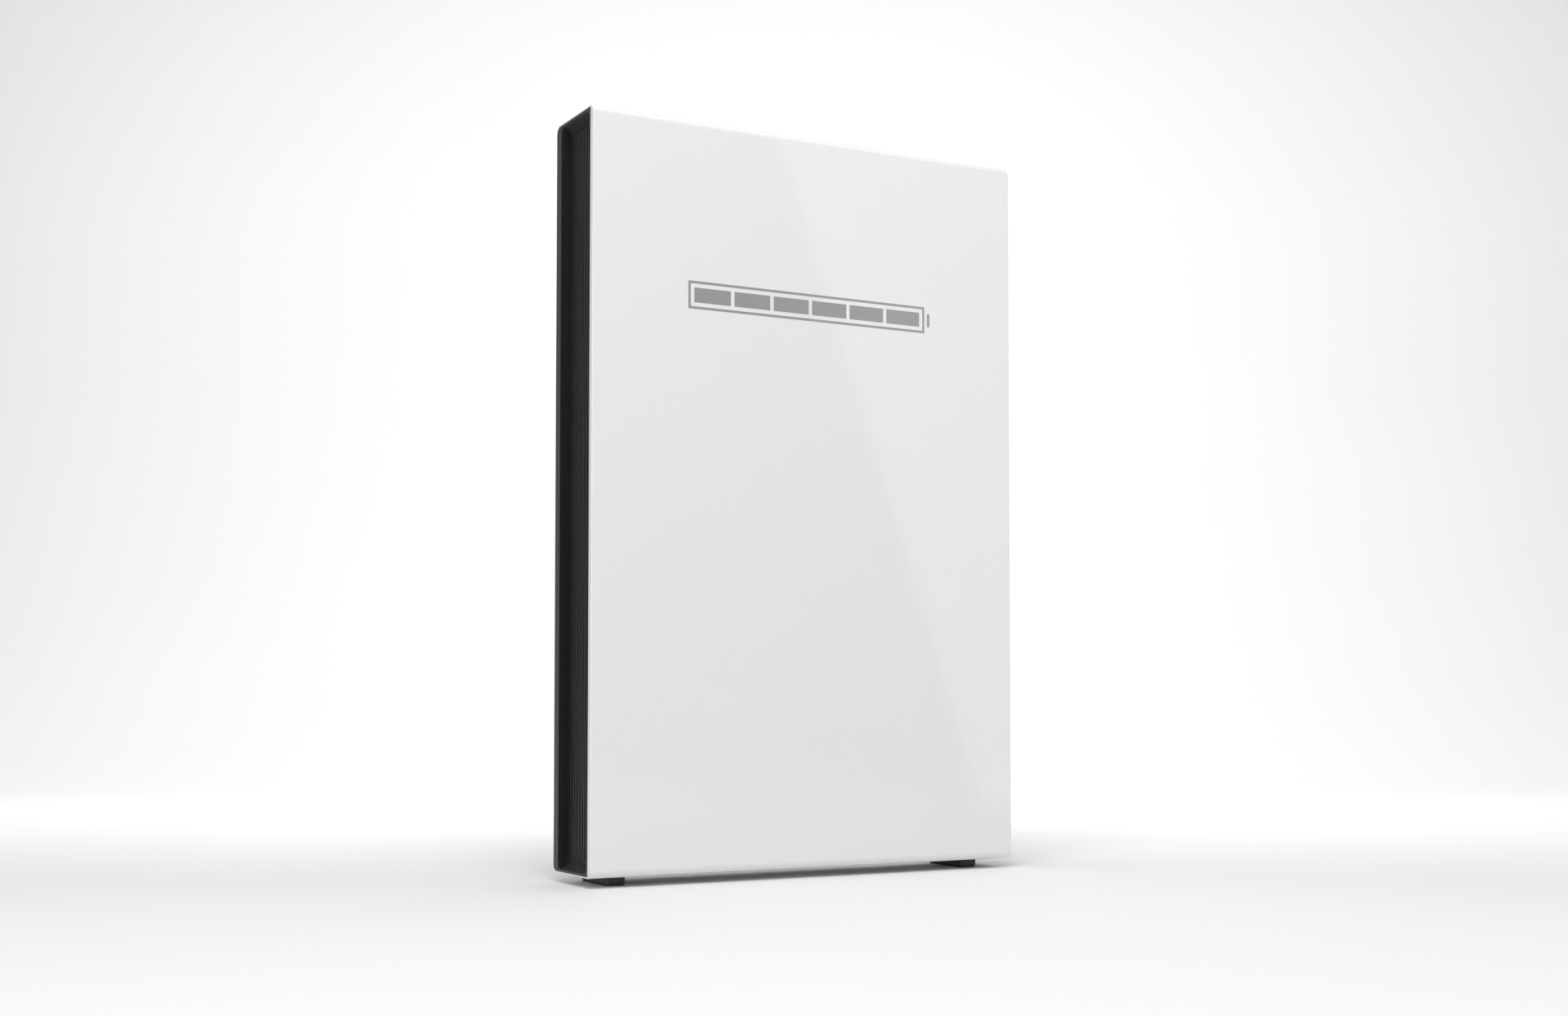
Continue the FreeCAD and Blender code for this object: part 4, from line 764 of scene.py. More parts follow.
@dataclass
class BrokenEdges(SubAssembly):
    """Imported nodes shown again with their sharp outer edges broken, as made parts have them."""

    nodes: tuple[str, ...]
    width: float = 0.0004
    shortest: float = 0.01
    flat_angle: float = 0.5
    hard_angle: float = 40.0

    def build(self) -> None:
        """Weld each node's mesh, join its flat faces, and round its long convex edges."""
        groups = frame["record"]["behaviour"]["bodies"]
        bodies = {node: body for body, nodes in groups.items() for node in nodes}
        for node in self.nodes:
            shape = Shape()
            shape.mesh.from_mesh(frame["nodes"][node].data)
            bmesh.ops.remove_doubles(shape.mesh, verts=shape.mesh.verts, dist=1e-6)
            bmesh.ops.dissolve_limit(shape.mesh, angle_limit=math.radians(self.flat_angle),
                                     verts=shape.mesh.verts, edges=shape.mesh.edges)
            hard = [edge for edge in shape.mesh.edges
                    if len(edge.link_faces) == 2 and edge.is_convex and edge.calc_length() > self.shortest
                    and edge.calc_face_angle(0.0) > math.radians(self.hard_angle)]
            bmesh.ops.bevel(shape.mesh, geom=hard, offset=self.width, segments=2, profile=0.5,
                            affect="EDGES", material=-1, clamp_overlap=False)
            self.fit(f"{node}_broken_edges", shape, NODE_SLOTS[node], Body(bodies[node]), [node])


@dataclass
class StatusWindows(SubAssembly):
    """Low ribs on the webs between the status windows of the left panel."""

    windows: int = 4
    margin: float = 0.005
    web: float = 0.006
    rise: float = 0.0014
    root: float = 0.0006
    half_width: float = 0.0016

    def build(self) -> None:
        """Set one rib below, between and above the windows."""
        guide = node_box("status_light_guide")
        low = guide.low.z + self.margin - self.web / 2
        pitch = (guide.size.z - 2 * self.margin + self.web) / self.windows
        shape = Shape()
        y, half = guide.centre.y, self.web / 2 - 0.001
        for number in range(self.windows + 1):
            x, z = guide.low.x, low + pitch * number
            shape.box((x - self.rise, y - self.half_width, z - half),
                      (x + self.root, y + self.half_width, z + half), 0.0005, 2)
        self.fit("window_ribs", shape, "black_plastic")


# ---------------------------------------------------------------- fasteners


@dataclass
class ScrewSet(SubAssembly):
    """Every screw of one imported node, shown with rounded heads and six-lobed recesses."""

    node: str
    head: float = 0.002
    shank: float = 0.0019
    rounding: float = 0.16
    rim: float = 0.36
    lobe_depth: float = 0.16
    recess: float = 0.55

    def screw(self, radius: float, length: float) -> bpy.types.Mesh:
        """Make one screw, its seat at the origin and its head up.

        Args:
            radius: head radius.
            length: whole length.

        Returns:
            A pattern mesh.
        """
        shape = Shape()
        shape.rod((0.0, 0.0, self.head / 2), Axis.Z, radius, self.head, radius * self.rounding, 24)
        shape.mesh.faces.ensure_lookup_table()
        crown = max(shape.mesh.faces, key=lambda face: face.calc_center_median().z)
        bmesh.ops.inset_region(shape.mesh, faces=[crown], thickness=radius * self.rim, use_even_offset=True)
        for vert in crown.verts:
            lobe = 1.0 + self.lobe_depth * math.cos(6.0 * math.atan2(vert.co.y, vert.co.x))
            vert.co.x, vert.co.y = vert.co.x * lobe, vert.co.y * lobe
        made = bmesh.ops.extrude_face_region(shape.mesh, geom=[crown])["geom"]
        bmesh.ops.translate(shape.mesh, verts=only(bmesh.types.BMVert, made),
                            vec=(0.0, 0.0, -self.head * self.recess))
        reach = length - self.head
        shape.rod((0.0, 0.0, -reach / 2), Axis.Z, self.shank, reach, 0.0, 16)
        return shape.pattern(f"{self.node}_pattern")

    def build(self) -> None:
        """Stamp a screw at every solid of the node, its head to the front."""
        boxes = solids(self.node)
        pattern = self.screw(boxes[0].size.z / 2, boxes[0].size.y)
        shape = Shape()
        for box in boxes:
            seat = Vector((box.centre.x, box.low.y + self.head, box.centre.z))
            shape.stamp(pattern, Matrix.Translation(seat) @ Axis.FRONT.value)
        bpy.data.meshes.remove(pattern)
        self.fit(f"{self.node}_recessed", shape, "zinc_steel", stands_for=[self.node])


# ---------------------------------------------------------------- cover and rear


@dataclass
class CoverLining(SubAssembly):
    """Damping pads on the inside of the front cover."""

    thickness: float = 0.0011
    width: float = 0.19
    height: float = 0.24
    columns: tuple[float, ...] = (-0.21, 0.03, 0.25)
    levels: tuple[float, ...] = (0.22, 0.84)

    def build(self) -> None:
        """Six bevelled pads bonded to the sheet."""
        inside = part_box("cover_studs")[0].y
        shape = Shape()
        for across in self.columns:
            for level in self.levels:
                shape.box((across - self.width / 2, inside, level - self.height / 2),
                          (across + self.width / 2, inside + self.thickness, level + self.height / 2), 0.0004)
        self.fit("cover_damping_pads", shape, "pad_rubber", Body.COVER)


@dataclass
class RearPlate(SubAssembly):
    """Pressed beads, breather, earth stud and conduit locknut on the back."""

    bead_width: float = 0.012
    bead_height: float = 0.0012
    bead_length: float = 0.46
    bead_count: int = 5
    nut_wall: float = 0.005
    nut_height: float = 0.004
    nut_lobes: int = 8
    stud_offset: float = 0.055
    breather_radius: float = 0.011
    breather_notches: int = 10

    def beads(self) -> None:
        """Long stadium-shaped beads between the two hanging cleats."""
        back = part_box("rear_housing")[1].y
        low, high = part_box("lower_cleat")[1].z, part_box("upper_cleat")[0].z
        shape = Shape()
        for number in range(1, self.bead_count + 1):
            level = low + (high - low) * number / (self.bead_count + 1)
            half, side = self.bead_length / 2, self.bead_width / 2
            shape.box((-half, back - 0.0002, level - side), (half, back + self.bead_height, level + side),
                      self.bead_height * 0.95, 3)
        self.fit("rear_beads", shape, "housing_metal")

    def conduit_nut(self) -> None:
        """A lobed locknut round the conduit hub."""
        hub, back = node_box("conduit_hub"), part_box("rear_housing")[1].y
        inner = hub.size.x / 2
        shape = Shape()
        outer, top = inner + self.nut_wall, self.nut_height
        shape.turned([(inner, 0.0), (outer, 0.0), (outer, top - 0.0008), (outer - 0.001, top), (inner, top)],
                     (hub.centre.x, back, hub.centre.z), Axis.Y, 48)
        middle = Vector((hub.centre.x, back + top / 2, hub.centre.z))
        for lobe in ring(middle, Axis.Y, outer + 0.0005, self.nut_lobes):
            shape.rod(lobe, Axis.Y, 0.0022, top - 0.0004, 0.0005, 12)
        self.fit("conduit_locknut", shape, "zinc_steel")

    def earth_stud(self) -> None:
        """A stud with a washer and a hexagon nut beside the conduit hub."""
        hub, back = node_box("conduit_hub"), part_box("rear_housing")[1].y
        x, z = hub.centre.x + self.stud_offset, hub.centre.z
        shape = Shape()
        shape.rod((x, back + 0.0004, z), Axis.Y, 0.0062, 0.0008, 0.0002)
        shape.rod((x, back + 0.0023, z), Axis.Y, 0.0055, 0.0030, 0.0004, 6)
        shape.rod((x, back + 0.0028, z), Axis.Y, 0.0030, 0.0056, 0.0006, 20)
        self.fit("earth_stud", shape, "brass_parts")

    def breather(self) -> None:
        """A round breather cap with a ring of drainage notches."""
        hub, back = node_box("conduit_hub"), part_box("rear_housing")[1].y
        x, z, radius = -hub.centre.x, hub.centre.z, self.breather_radius
        shape = Shape()
        shape.turned([(0.0, 0.0), (radius, 0.0), (radius, 0.0022), (radius * 0.86, 0.0034),
                      (radius * 0.3, 0.0036), (0.0, 0.003)], (x, back, z), Axis.Y, 40)
        for notch in ring(Vector((x, back + 0.0012, z)), Axis.Y, radius, self.breather_notches):
            shape.rod(notch, Axis.Y, 0.0013, 0.0022, 0.0003, 10)
        self.fit("breather_cap", shape, "black_plastic")

    def build(self) -> None:
        """Make the details of the back."""
        self.beads()
        self.conduit_nut()
        self.earth_stud()
        self.breather()


# ---------------------------------------------------------------- battery


@dataclass
class BatteryPack(SubAssembly):
    """Lid beads, vents, service plug, cells and the power leads of the battery."""

    panel_rise: float = 0.0014
    panel_columns: int = 3
    panel_rows: int = 5
    panel_gap: float = 0.022
    panel_margin: float = 0.03
    fitting_inset: float = 0.07
    vent_radius: float = 0.024
    vent_bar_pitch: float = 0.0065
    vent_bar: float = 0.0018
    cell_radius: float = 0.0091
    cell_pitch_ratio: float = 2.06
    lead_radius: float = 0.0065
    lead_bend: float = 0.013
    lead_spread: float = 0.024
    boot_radius: float = 0.013

    def clear_left(self) -> float:
        """X of the lid's edge that the reservoir leaves clear."""
        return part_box("coolant_reservoir")[1].x + self.panel_gap

    def lid_panels(self) -> None:
        """Raised, round-edged fields pressed into the lid."""
        lid = node_box("battery_lid")
        left, right = self.clear_left(), lid.high.x - self.panel_margin
        low, high = lid.low.z + self.panel_margin, lid.high.z - self.panel_margin
        wide = (right - left + self.panel_gap) / self.panel_columns
        tall = (high - low + self.panel_gap) / self.panel_rows
        shape = Shape()
        for column in range(self.panel_columns):
            for row in range(self.panel_rows):
                if column == self.panel_columns - 1 and row in (0, self.panel_rows - 1):
                    continue
                x, z = left + wide * column, low + tall * row
                end = (x + wide - self.panel_gap, lid.low.y + 0.0003, z + tall - self.panel_gap)
                shape.box((x, lid.low.y - self.panel_rise, z), end, 0.0013, 3)
        self.fit("lid_pressed_fields", shape, "cast_aluminium")

    def vents(self) -> None:
        """Two burst vents with ribbed guards near the lid's lower right corner."""
        lid = node_box("battery_lid")
        shape = Shape()
        rim, well, low, high = self.vent_radius, self.vent_radius - 0.006, 0.003, 0.0055
        for number in range(2):
            x, z = lid.high.x - self.fitting_inset * (number + 1), lid.low.z + 0.095
            shape.turned([(0.0, 0.0), (rim, 0.0), (rim, low), (rim - 0.0025, high), (well + 0.001, high),
                          (well, low), (0.0, low)], (x, lid.low.y, z), Axis.FRONT, 48)
            for bar in range(-2, 3):
                across = bar * self.vent_bar_pitch
                reach = math.sqrt((well + 0.0005) ** 2 - across ** 2)
                shape.box((x + across - self.vent_bar / 2, lid.low.y - high + 0.0003, z - reach),
                          (x + across + self.vent_bar / 2, lid.low.y - low + 0.0005, z + reach), 0.0003)
        self.fit("burst_vents", shape, "black_plastic")

    def service_plug(self) -> None:
        """The pull-out service plug: a flanged body with a bridge grip."""
        lid = node_box("battery_lid")
        x, z, face = lid.high.x - self.fitting_inset, lid.high.z - 0.09, lid.low.y
        shape = Shape()
        shape.box((x - 0.036, face - 0.004, z - 0.024), (x + 0.036, face, z + 0.024), 0.0015, 3)
        shape.box((x - 0.028, face - 0.017, z - 0.017), (x + 0.028, face - 0.0035, z + 0.017), 0.003, 3)
        for side in (-1, 1):
            shape.box((x + side * 0.022 - 0.003, face - 0.031, z - 0.007),
                      (x + side * 0.022 + 0.003, face - 0.016, z + 0.007), 0.0012, 3)
        shape.box((x - 0.025, face - 0.034, z - 0.007), (x + 0.025, face - 0.029, z + 0.007), 0.002, 3)
        self.fit("service_plug", shape, "black_plastic", finish=ORANGE_MOULDING)

    def leads(self) -> None:
        """Two power leads from the lid to glands under the wiring box, with their boots and glands."""
        lid, box = node_box("battery_lid"), node_box("wiring_box")
        middle = box.centre.x - 0.03
        cables, boots, glands = Shape(), Shape(), Shape()
        start, face = lid.high.z - 0.03, lid.low.y
        for side in (-1, 1):
            x = middle + side * self.lead_spread
            out = face - 0.012
            inside = box.low.y + 0.03
            turn = (lid.high.z + box.low.z) / 2
            path = [(x, out, start), (x, out, turn), (x, inside, turn), (x, inside, box.low.z - 0.004)]
            cables.pipe(path, self.lead_radius, self.lead_bend)
            boots.box((x - self.boot_radius, face - 0.023, start - 0.034),
                      (x + self.boot_radius, face, start + 0.004), 0.003, 3)
            boots.rod((x, out, start + 0.009), Axis.Z, self.lead_radius + 0.002, 0.014, 0.001)
            glands.rod((x, inside, box.low.z - 0.004), Axis.Z, 0.0125, 0.008, 0.001, 6)
            glands.rod((x, inside, box.low.z - 0.013), Axis.Z, 0.0085, 0.010, 0.0, 28, 0.0112)
        self.fit("power_leads", cables, "black_plastic", finish=ORANGE_MOULDING)
        self.fit("power_lead_boots", boots, "black_plastic")
        self.fit("power_lead_glands", glands, "grey_plastic")

    def cells(self, node: str) -> None:
        """Fill each brick of a module with round cells, close packed."""
        bricks = solids(node)
        size = bricks[0].size
        cell = Shape()
        cell.rod((0.0, 0.0, 0.0), Axis.Y, self.cell_radius, size.y - 0.0012, 0.0, 14)
        cell.rod((0.0, 0.0004 - size.y / 2, 0.0), Axis.Y, self.cell_radius * 0.42, 0.0008, 0.0, 10)
        cell = cell.pattern("cell_pattern")
        pitch = self.cell_radius * self.cell_pitch_ratio
        rise = pitch * math.sqrt(0.75)
        columns, rows = int((size.x - pitch / 2) // pitch), int((size.z - pitch) // rise) + 1
        pack = Shape()
        for row in range(rows):
            for column in range(columns):
                x = pitch * (column + 0.5 * (row % 2) - (columns - 0.5) / 2)
                pack.stamp(cell, Matrix.Translation((x, 0.0, rise * (row - (rows - 1) / 2))))
        pack = pack.pattern("brick_pattern")
        shape = Shape()
        for brick in bricks:
            shape.stamp(pack, Matrix.Translation(brick.centre))
        for used in (cell, pack):
            bpy.data.meshes.remove(used)
        self.fit(f"{node}_round", shape, "cell_blocks", stands_for=[node])

    def build(self) -> None:
        """Make the battery's details."""
        self.lid_panels()
        self.vents()
        self.service_plug()
        self.leads()
        self.cells("lower_cell_bricks")
        self.cells("upper_cell_bricks")


# ---------------------------------------------------------------- cooling


@dataclass
class CoolingLoop(SubAssembly):
    """Radiator fins, hose clamps, and the details of the pump and the reservoir."""

    slot_pitch: float = 0.012
    slot_height: float = 0.008
    fin_pitch: float = 0.0042
    fin_wall: float = 0.0004
    fin_inset: float = 0.005
    clamp_width: float = 0.007
    clamp_wall: float = 0.0009
    clamp_offset: float = 0.006
    low_clamp: float = 0.09
    cap_screws: int = 6
    cap_screw_inset: float = 0.0052
    cap_rings: tuple[float, ...] = (0.010, 0.016, 0.022)
    strap_places: tuple[float, ...] = (0.36, 0.64)
    mark_places: tuple[float, ...] = (0.25, 0.75)
    cap_grips: int = 20

    def radiator_fins(self) -> None:
        """Thin plates across every air slot of the core."""
        core = node_box("radiator_core")
        slot, pitch = self.slot_height, self.slot_pitch
        places = int((core.size.y - self.fin_inset * 2) // self.fin_pitch)
        strip = Shape()
        for number in range(places):
            y = core.centre.y + self.fin_pitch * (number - (places - 1) / 2)
            strip.box((core.low.x + 0.001, y - self.fin_wall / 2, 0.0),
                      (core.high.x - 0.001, y + self.fin_wall / 2, slot), 0.0)
        strip = strip.pattern("fin_pattern")
        shape = Shape()
        for row in range(int(core.size.z // pitch)):
            shape.stamp(strip, Matrix.Translation((0.0, 0.0, core.low.z + slot / 2 + pitch * row)))
        bpy.data.meshes.remove(strip)
        self.fit("radiator_fins", shape, "cast_aluminium")

    def clamps(self) -> None:
        """Worm-drive clamps on the straight ends of the pipes."""
        hoses, fittings = node_box("coolant_hoses"), solids("coolant_fittings")
        tanks, pump, tank = solids("radiator_tanks"), node_box("pump_housing"), node_box("coolant_reservoir")
        radius = fittings[0].size.z / 2
        run = node_box("supply_pipe")
        y, x, off = hoses.low.y + radius, tank.centre.x, self.clamp_offset
        places = [(Axis.X, (tanks[0].high.x + off, y, tanks[0].centre.z)),
                  (Axis.X, (pump.low.x - off, y, tanks[0].centre.z)),
                  (Axis.X, (tanks[-1].high.x + off, hoses.high.y - radius, tanks[-1].centre.z)),
                  (Axis.Z, (x, y, pump.high.z + off)), (Axis.Z, (x, y, tank.low.z - off)),
                  (Axis.Z, (x, y, pump.low.z - off)), (Axis.Z, (x, y, run.low.z + self.low_clamp))]
        shape = Shape()
        half, outer = self.clamp_width / 2, radius + self.clamp_wall
        for axis, place in places:
            shape.turned([(radius, -half), (outer, -half), (outer, half), (radius, half)], place, axis, 28)
            centre = Vector(place) + Vector((0.0, -radius - 0.0026, 0.0))
            across = Axis.Z if axis is Axis.X else Axis.X
            shape.rod(centre, across, 0.0028, 0.011, 0.0005, 14)
            shape.rod(centre + (across.value @ Vector((0.0, 0.0, 0.0066))), across, 0.0033, 0.0022, 0.0004, 6)
        self.fit("hose_clamps", shape, "zinc_steel")

    def pump(self) -> None:
        """Cap screws, raised rings and a connector on the pump."""
        cap, housing = node_box("pump_cap"), node_box("pump_housing")
        screws, rings, plug = Shape(), Shape(), Shape()
        for place in ring(cap.centre, Axis.Y, cap.size.x / 2 - self.cap_screw_inset, self.cap_screws, 0.5):
            screws.rod((place.x, cap.low.y - 0.0010, place.z), Axis.Y, 0.0031, 0.0020, 0.0004, 20)
            screws.rod((place.x, cap.low.y - 0.0021, place.z), Axis.Y, 0.0015, 0.0004, 0.0, 6)
        for low in self.cap_rings:
            rings.turned([(low, 0.0), (low + 0.0018, 0.0), (low + 0.0016, 0.0016), (low + 0.0002, 0.0016)],
                         (cap.centre.x, cap.low.y + 0.0001, cap.centre.z), Axis.FRONT, 48)
        x, y, z = cap.high.x, housing.centre.y, cap.centre.z
        plug.box((x - 0.003, y - 0.008, z - 0.010), (x + 0.016, y + 0.008, z + 0.010), 0.0012, 3)
        plug.box((x + 0.015, y - 0.006, z - 0.007), (x + 0.024, y + 0.006, z + 0.007), 0.0010, 3)
        self.fit("pump_cap_screws", screws, "zinc_steel")
        self.fit("pump_cap_rings", rings, "grey_plastic")
        self.fit("pump_connector", plug, "black_plastic")

    def reservoir(self) -> None:
        """A weld seam, moulded level bars, a holding strap and the cap's grips."""
        tank, cap = node_box("coolant_reservoir"), node_box("reservoir_cap")
        seam, strap, grips = Shape(), Shape(), Shape()
        bead = 0.0015
        seam.box((tank.low.x - bead, tank.low.y - bead, tank.centre.z - bead),
                 (tank.high.x + bead, tank.high.y, tank.centre.z + bead), 0.0012, 3)
        for share in self.mark_places:
            level = tank.low.z + tank.size.z * share
            seam.box((tank.low.x + 0.012, tank.low.y - 0.0007, level - 0.0008),
                     (tank.low.x + 0.034, tank.low.y + 0.0004, level + 0.0008), 0.0004)
        for share in self.strap_places:
            level = tank.low.z + tank.size.z * share
            strap.box((tank.low.x - 0.0012, tank.low.y - 0.0012, level - 0.006),
                      (tank.high.x + 0.0012, tank.high.y, level + 0.006), 0.0009, 2)
        for place in ring(cap.centre, Axis.Z, cap.size.x / 2, self.cap_grips):
            grips.rod(place, Axis.Z, 0.0012, cap.size.z * 0.86, 0.0004, 8)
        self.fit("reservoir_seam", seam, "grey_plastic", finish=MILKY)
        self.fit("reservoir_straps", strap, "zinc_steel")
        self.fit("reservoir_cap_grips", grips, "black_plastic")

    def build(self) -> None:
        """Make the loop's details."""
        self.radiator_fins()
        self.clamps()
        self.pump()
        self.reservoir()


@dataclass
class Fan(SubAssembly):
    """One fan's swept blades, finger guard and screws."""

    name: str
    body: Body
    blades: int = 9
    sweep: float = 16.0
    pitch_root: float = 52.0
    pitch_tip: float = 30.0
    chord: float = 0.027
    wall: float = 0.0011
    hub_radius: float = 0.0185
    bore_radius: float = 0.0026
    wire: float = 0.0009
    rings: tuple[float, ...] = (0.012, 0.023, 0.034, 0.045, 0.056)
    spokes: int = 4
    corner: float = 0.0742

    def blade(self, shape: Shape, hub: float, tip: float, turn: float, centre: Vector) -> None:
        """Add one twisted, swept blade.

        Args:
            shape: the rotor's mesh.
            hub: hub radius.
            tip: radius at the blade's tip.
            turn: the blade's angle round the shaft, in radians.
            centre: middle of the rotor.
        """
        rows = 8
        made = bmesh.ops.create_grid(shape.mesh, x_segments=rows, y_segments=6, size=0.5)["verts"]
        faces = once(face for vert in made for face in vert.link_faces)
        thick = bmesh.ops.solidify(shape.mesh, geom=faces, thickness=self.wall)["geom"]
        verts = once(vert for face in faces + only(bmesh.types.BMFace, thick) for vert in face.verts)
        bmesh.ops.scale(shape.mesh, verts=verts, vec=(1.0, self.chord, 1.0))
        for row in range(rows + 1):
            share = row / rows
            line = [vert for vert in verts if abs(vert.co.x + 0.5 - share) < 0.4 / rows]
            pitch = math.radians(self.pitch_root + (self.pitch_tip - self.pitch_root) * share)
            bmesh.ops.rotate(shape.mesh, verts=line, cent=(0.0, 0.0, 0.0),
                             matrix=Matrix.Rotation(pitch, 3, "X"))
            for vert in line:
                vert.co.x = hub + (tip - hub) * share
            bmesh.ops.rotate(shape.mesh, verts=line, cent=(0.0, 0.0, 0.0),
                             matrix=Matrix.Rotation(math.radians(self.sweep) * share ** 2, 3, "Z"))
        to_shaft = Matrix.Translation(centre) @ Matrix.Rotation(turn, 4, "X") @ Axis.X.value
        bmesh.ops.transform(shape.mesh, matrix=to_shaft, verts=verts)

    def rotor(self) -> None:
        """A domed hub with its blades, shown in place of the plain rotor."""
        node = f"{self.name}_fan_rotor"
        box = node_box(node)
        hub, bore, tip = self.hub_radius, self.bore_radius, min(box.size.y, box.size.z) / 2 - 0.0015
        half = box.size.x / 2
        shape = Shape()
        shape.turned([(bore, -half), (hub - 0.002, -half), (hub, -half + 0.002), (hub, half), (bore, half)],
                     box.centre, Axis.X, 48)
        shaft = node_box(f"{self.name}_fan_frame").centre.z
        centre = Vector((box.centre.x, box.centre.y, shaft))
        for number in range(self.blades):
            self.blade(shape, hub - 0.001, tip, math.tau * number / self.blades, centre)
        self.fit(f"{self.name}_fan_blades", shape, "black_plastic", self.body, [node])

    def guard(self) -> None:
        """Wire rings on four spokes over the fan's inlet, with the corner screws."""
        box = node_box(f"{self.name}_fan_frame")
        x, wire = box.low.x, self.wire
        rings, screws = Shape(), Shape()
        section = [(point.x, point.y) for point in ring(Vector(), Axis.Z, wire, 6)]
        for radius in self.rings:
            rings.turned([(radius + out, height) for out, height in section],
                         (x - wire * 2, box.centre.y, box.centre.z), Axis.X, 48)
        middle = Vector((x - wire, box.centre.y, box.centre.z))
        for spoke in ring(Vector(), Axis.X, 1.0, self.spokes, 0.5):
            rings.pipe([middle + spoke * 0.006, middle + spoke * 0.074], wire, 0.001, 8)
            corner = middle + spoke * self.corner
            screws.rod((x - 0.0011, corner.y, corner.z), Axis.X, 0.004, 0.0022, 0.0005, 20)
            screws.rod((x - 0.0023, corner.y, corner.z), Axis.X, 0.0018, 0.0004, 0.0, 6)
        self.fit(f"{self.name}_fan_guard", rings, "zinc_steel")
        self.fit(f"{self.name}_fan_screws", screws, "zinc_steel")

    def build(self) -> None:
        """Make the fan's rotor and guard."""
        self.rotor()
        self.guard()


# ---------------------------------------------------------------- electronics


@dataclass
class Electronics(SubAssembly):
    """Windings, chips, capacitor tops and connectors of the inverter board and the terminals."""

    turns: int = 26
    wire: float = 0.0019
    chips: tuple[tuple[float, float, float], ...] = (
        (0.16, 0.20, 0.022), (0.20, 0.135, 0.014), (0.27, 0.21, 0.012), (0.245, 0.17, 0.010),
        (0.12, 0.165, 0.012))
    pin_pitch: float = 0.0016
    passive_rows: int = 6
    passive_columns: int = 14
    clamp_screws: int = 6
    clamp_pitch: float = 0.018
    lead_radius: float = 0.0022
    lead_bend: float = 0.009

    def inductors(self) -> None:
        """Toroids wound with enamelled copper, shown in place of the plain rings."""
        cores, windings = Shape(), Shape()
        for box in solids("power_inductors"):
            outer, inner, half = box.size.x / 2 - 0.004, 0.017, box.size.y / 2
            cores.turned([(inner, -half + 0.004), (outer, -half + 0.004), (outer, half - 0.004),
                          (inner, half - 0.004)], box.centre, Axis.Y, 48)
            for number in range(self.turns):
                turn = Matrix.Rotation(math.tau * number / self.turns, 4, "Y")
                low, high = inner - self.wire, outer + self.wire
                side = half - self.wire
                corners = [Vector((low, -side, 0.0)), Vector((high, -side, 0.0)), Vector((high, side, 0.0)),
                           Vector((low, side, 0.0))]
                corners = [corners[0].lerp(corners[1], 0.5), *corners[1:], corners[0],
                           corners[0].lerp(corners[1], 0.49)]
                points = [box.centre + (turn @ corner) for corner in corners]
                windings.pipe(points, self.wire * 0.95, 0.003, 8)
        self.fit("inductor_cores", cores, "grey_plastic", stands_for=["power_inductors"])
        self.fit("inductor_windings", windings, "copper_bars")

    def capacitors(self) -> None:
        """Sleeved cans with a rolled rim and a scored top, shown in place of the plain rods."""
        sleeves, tops = Shape(), Shape()
        for box in solids("bus_capacitors"):
            radius, half = box.size.x / 2, box.size.y / 2
            rim, top = radius * 0.86, half - 0.0006
            outline = [(0.0, -half), (radius, -half), (radius, half - 0.003), (radius * 0.96, half - 0.002),
                       (radius, half - 0.001), (radius * 0.97, half), (rim, half), (rim, top), (0.0, top)]
            sleeves.turned(outline, box.centre, Axis.FRONT, 36)
            for turn in (0.0, 60.0, 120.0):
                spoke = Matrix.Rotation(math.radians(turn), 3, "Y") @ Vector((radius * 0.7, 0.0, 0.0))
                tip = Vector((box.centre.x, box.low.y + 0.0005, box.centre.z))
                tops.pipe([tip - spoke, tip + spoke], 0.0003, 0.0001, 6)
            tops.rod((box.centre.x, box.low.y + 0.0006, box.centre.z), Axis.Y, radius * 0.84, 0.0004)
        self.fit("capacitor_sleeves", sleeves, "black_plastic", stands_for=["bus_capacitors"])
        self.fit("capacitor_tops", tops, "cast_aluminium")

    def board_parts(self) -> None:
        """Controller chips with their leads, upright modules and rows of passives on the board."""
        board = node_box("inverter_board")
        face = board.low.y
        chips, leads, passives = Shape(), Shape(), Shape()
        for across, up, side in self.chips:
            x, z = board.low.x + across, board.low.z + up
            chips.box((x, face - 0.0016, z), (x + side, face - 0.0003, z + side), 0.0002)
            pins = int(side // self.pin_pitch)
            for pin in range(pins):
                place = (pin + 0.5) * side / pins
                leads.box((x + place - 0.0003, face - 0.0008, z - 0.0014),
                          (x + place + 0.0003, face, z + side + 0.0014), 0.0)
        for row in range(self.passive_rows):
            for column in range(self.passive_columns):
                x, z = board.low.x + 0.30 + 0.0042 * column, board.low.z + 0.15 + 0.008 * row
                passives.box((x, face - 0.0009, z), (x + 0.0018, face, z + 0.0032), 0.0)
        for number in range(3):
            x, z = board.low.x + 0.02, board.low.z + 0.03 + 0.04 * number
            chips.box((x, face - 0.019, z), (x + 0.017, face, z + 0.030), 0.0008)
        self.fit("board_chips", chips, "black_plastic")
        self.fit("board_chip_leads", leads, "zinc_steel")
        self.fit("board_passives", passives, "ceramic_fuse")

    def terminals(self) -> None:
        """Brass clamp screws in the terminal block's wells."""
        block = node_box("terminal_block")
        shape = Shape()
        for number in range(1, self.clamp_screws + 1):
            x, z = block.low.x + self.clamp_pitch * number, block.low.z + 0.022
            shape.rod((x, block.low.y + 0.0135, z), Axis.Y, 0.0027, 0.007, 0.0004, 20)
        self.fit("terminal_screws", shape, "brass_parts")

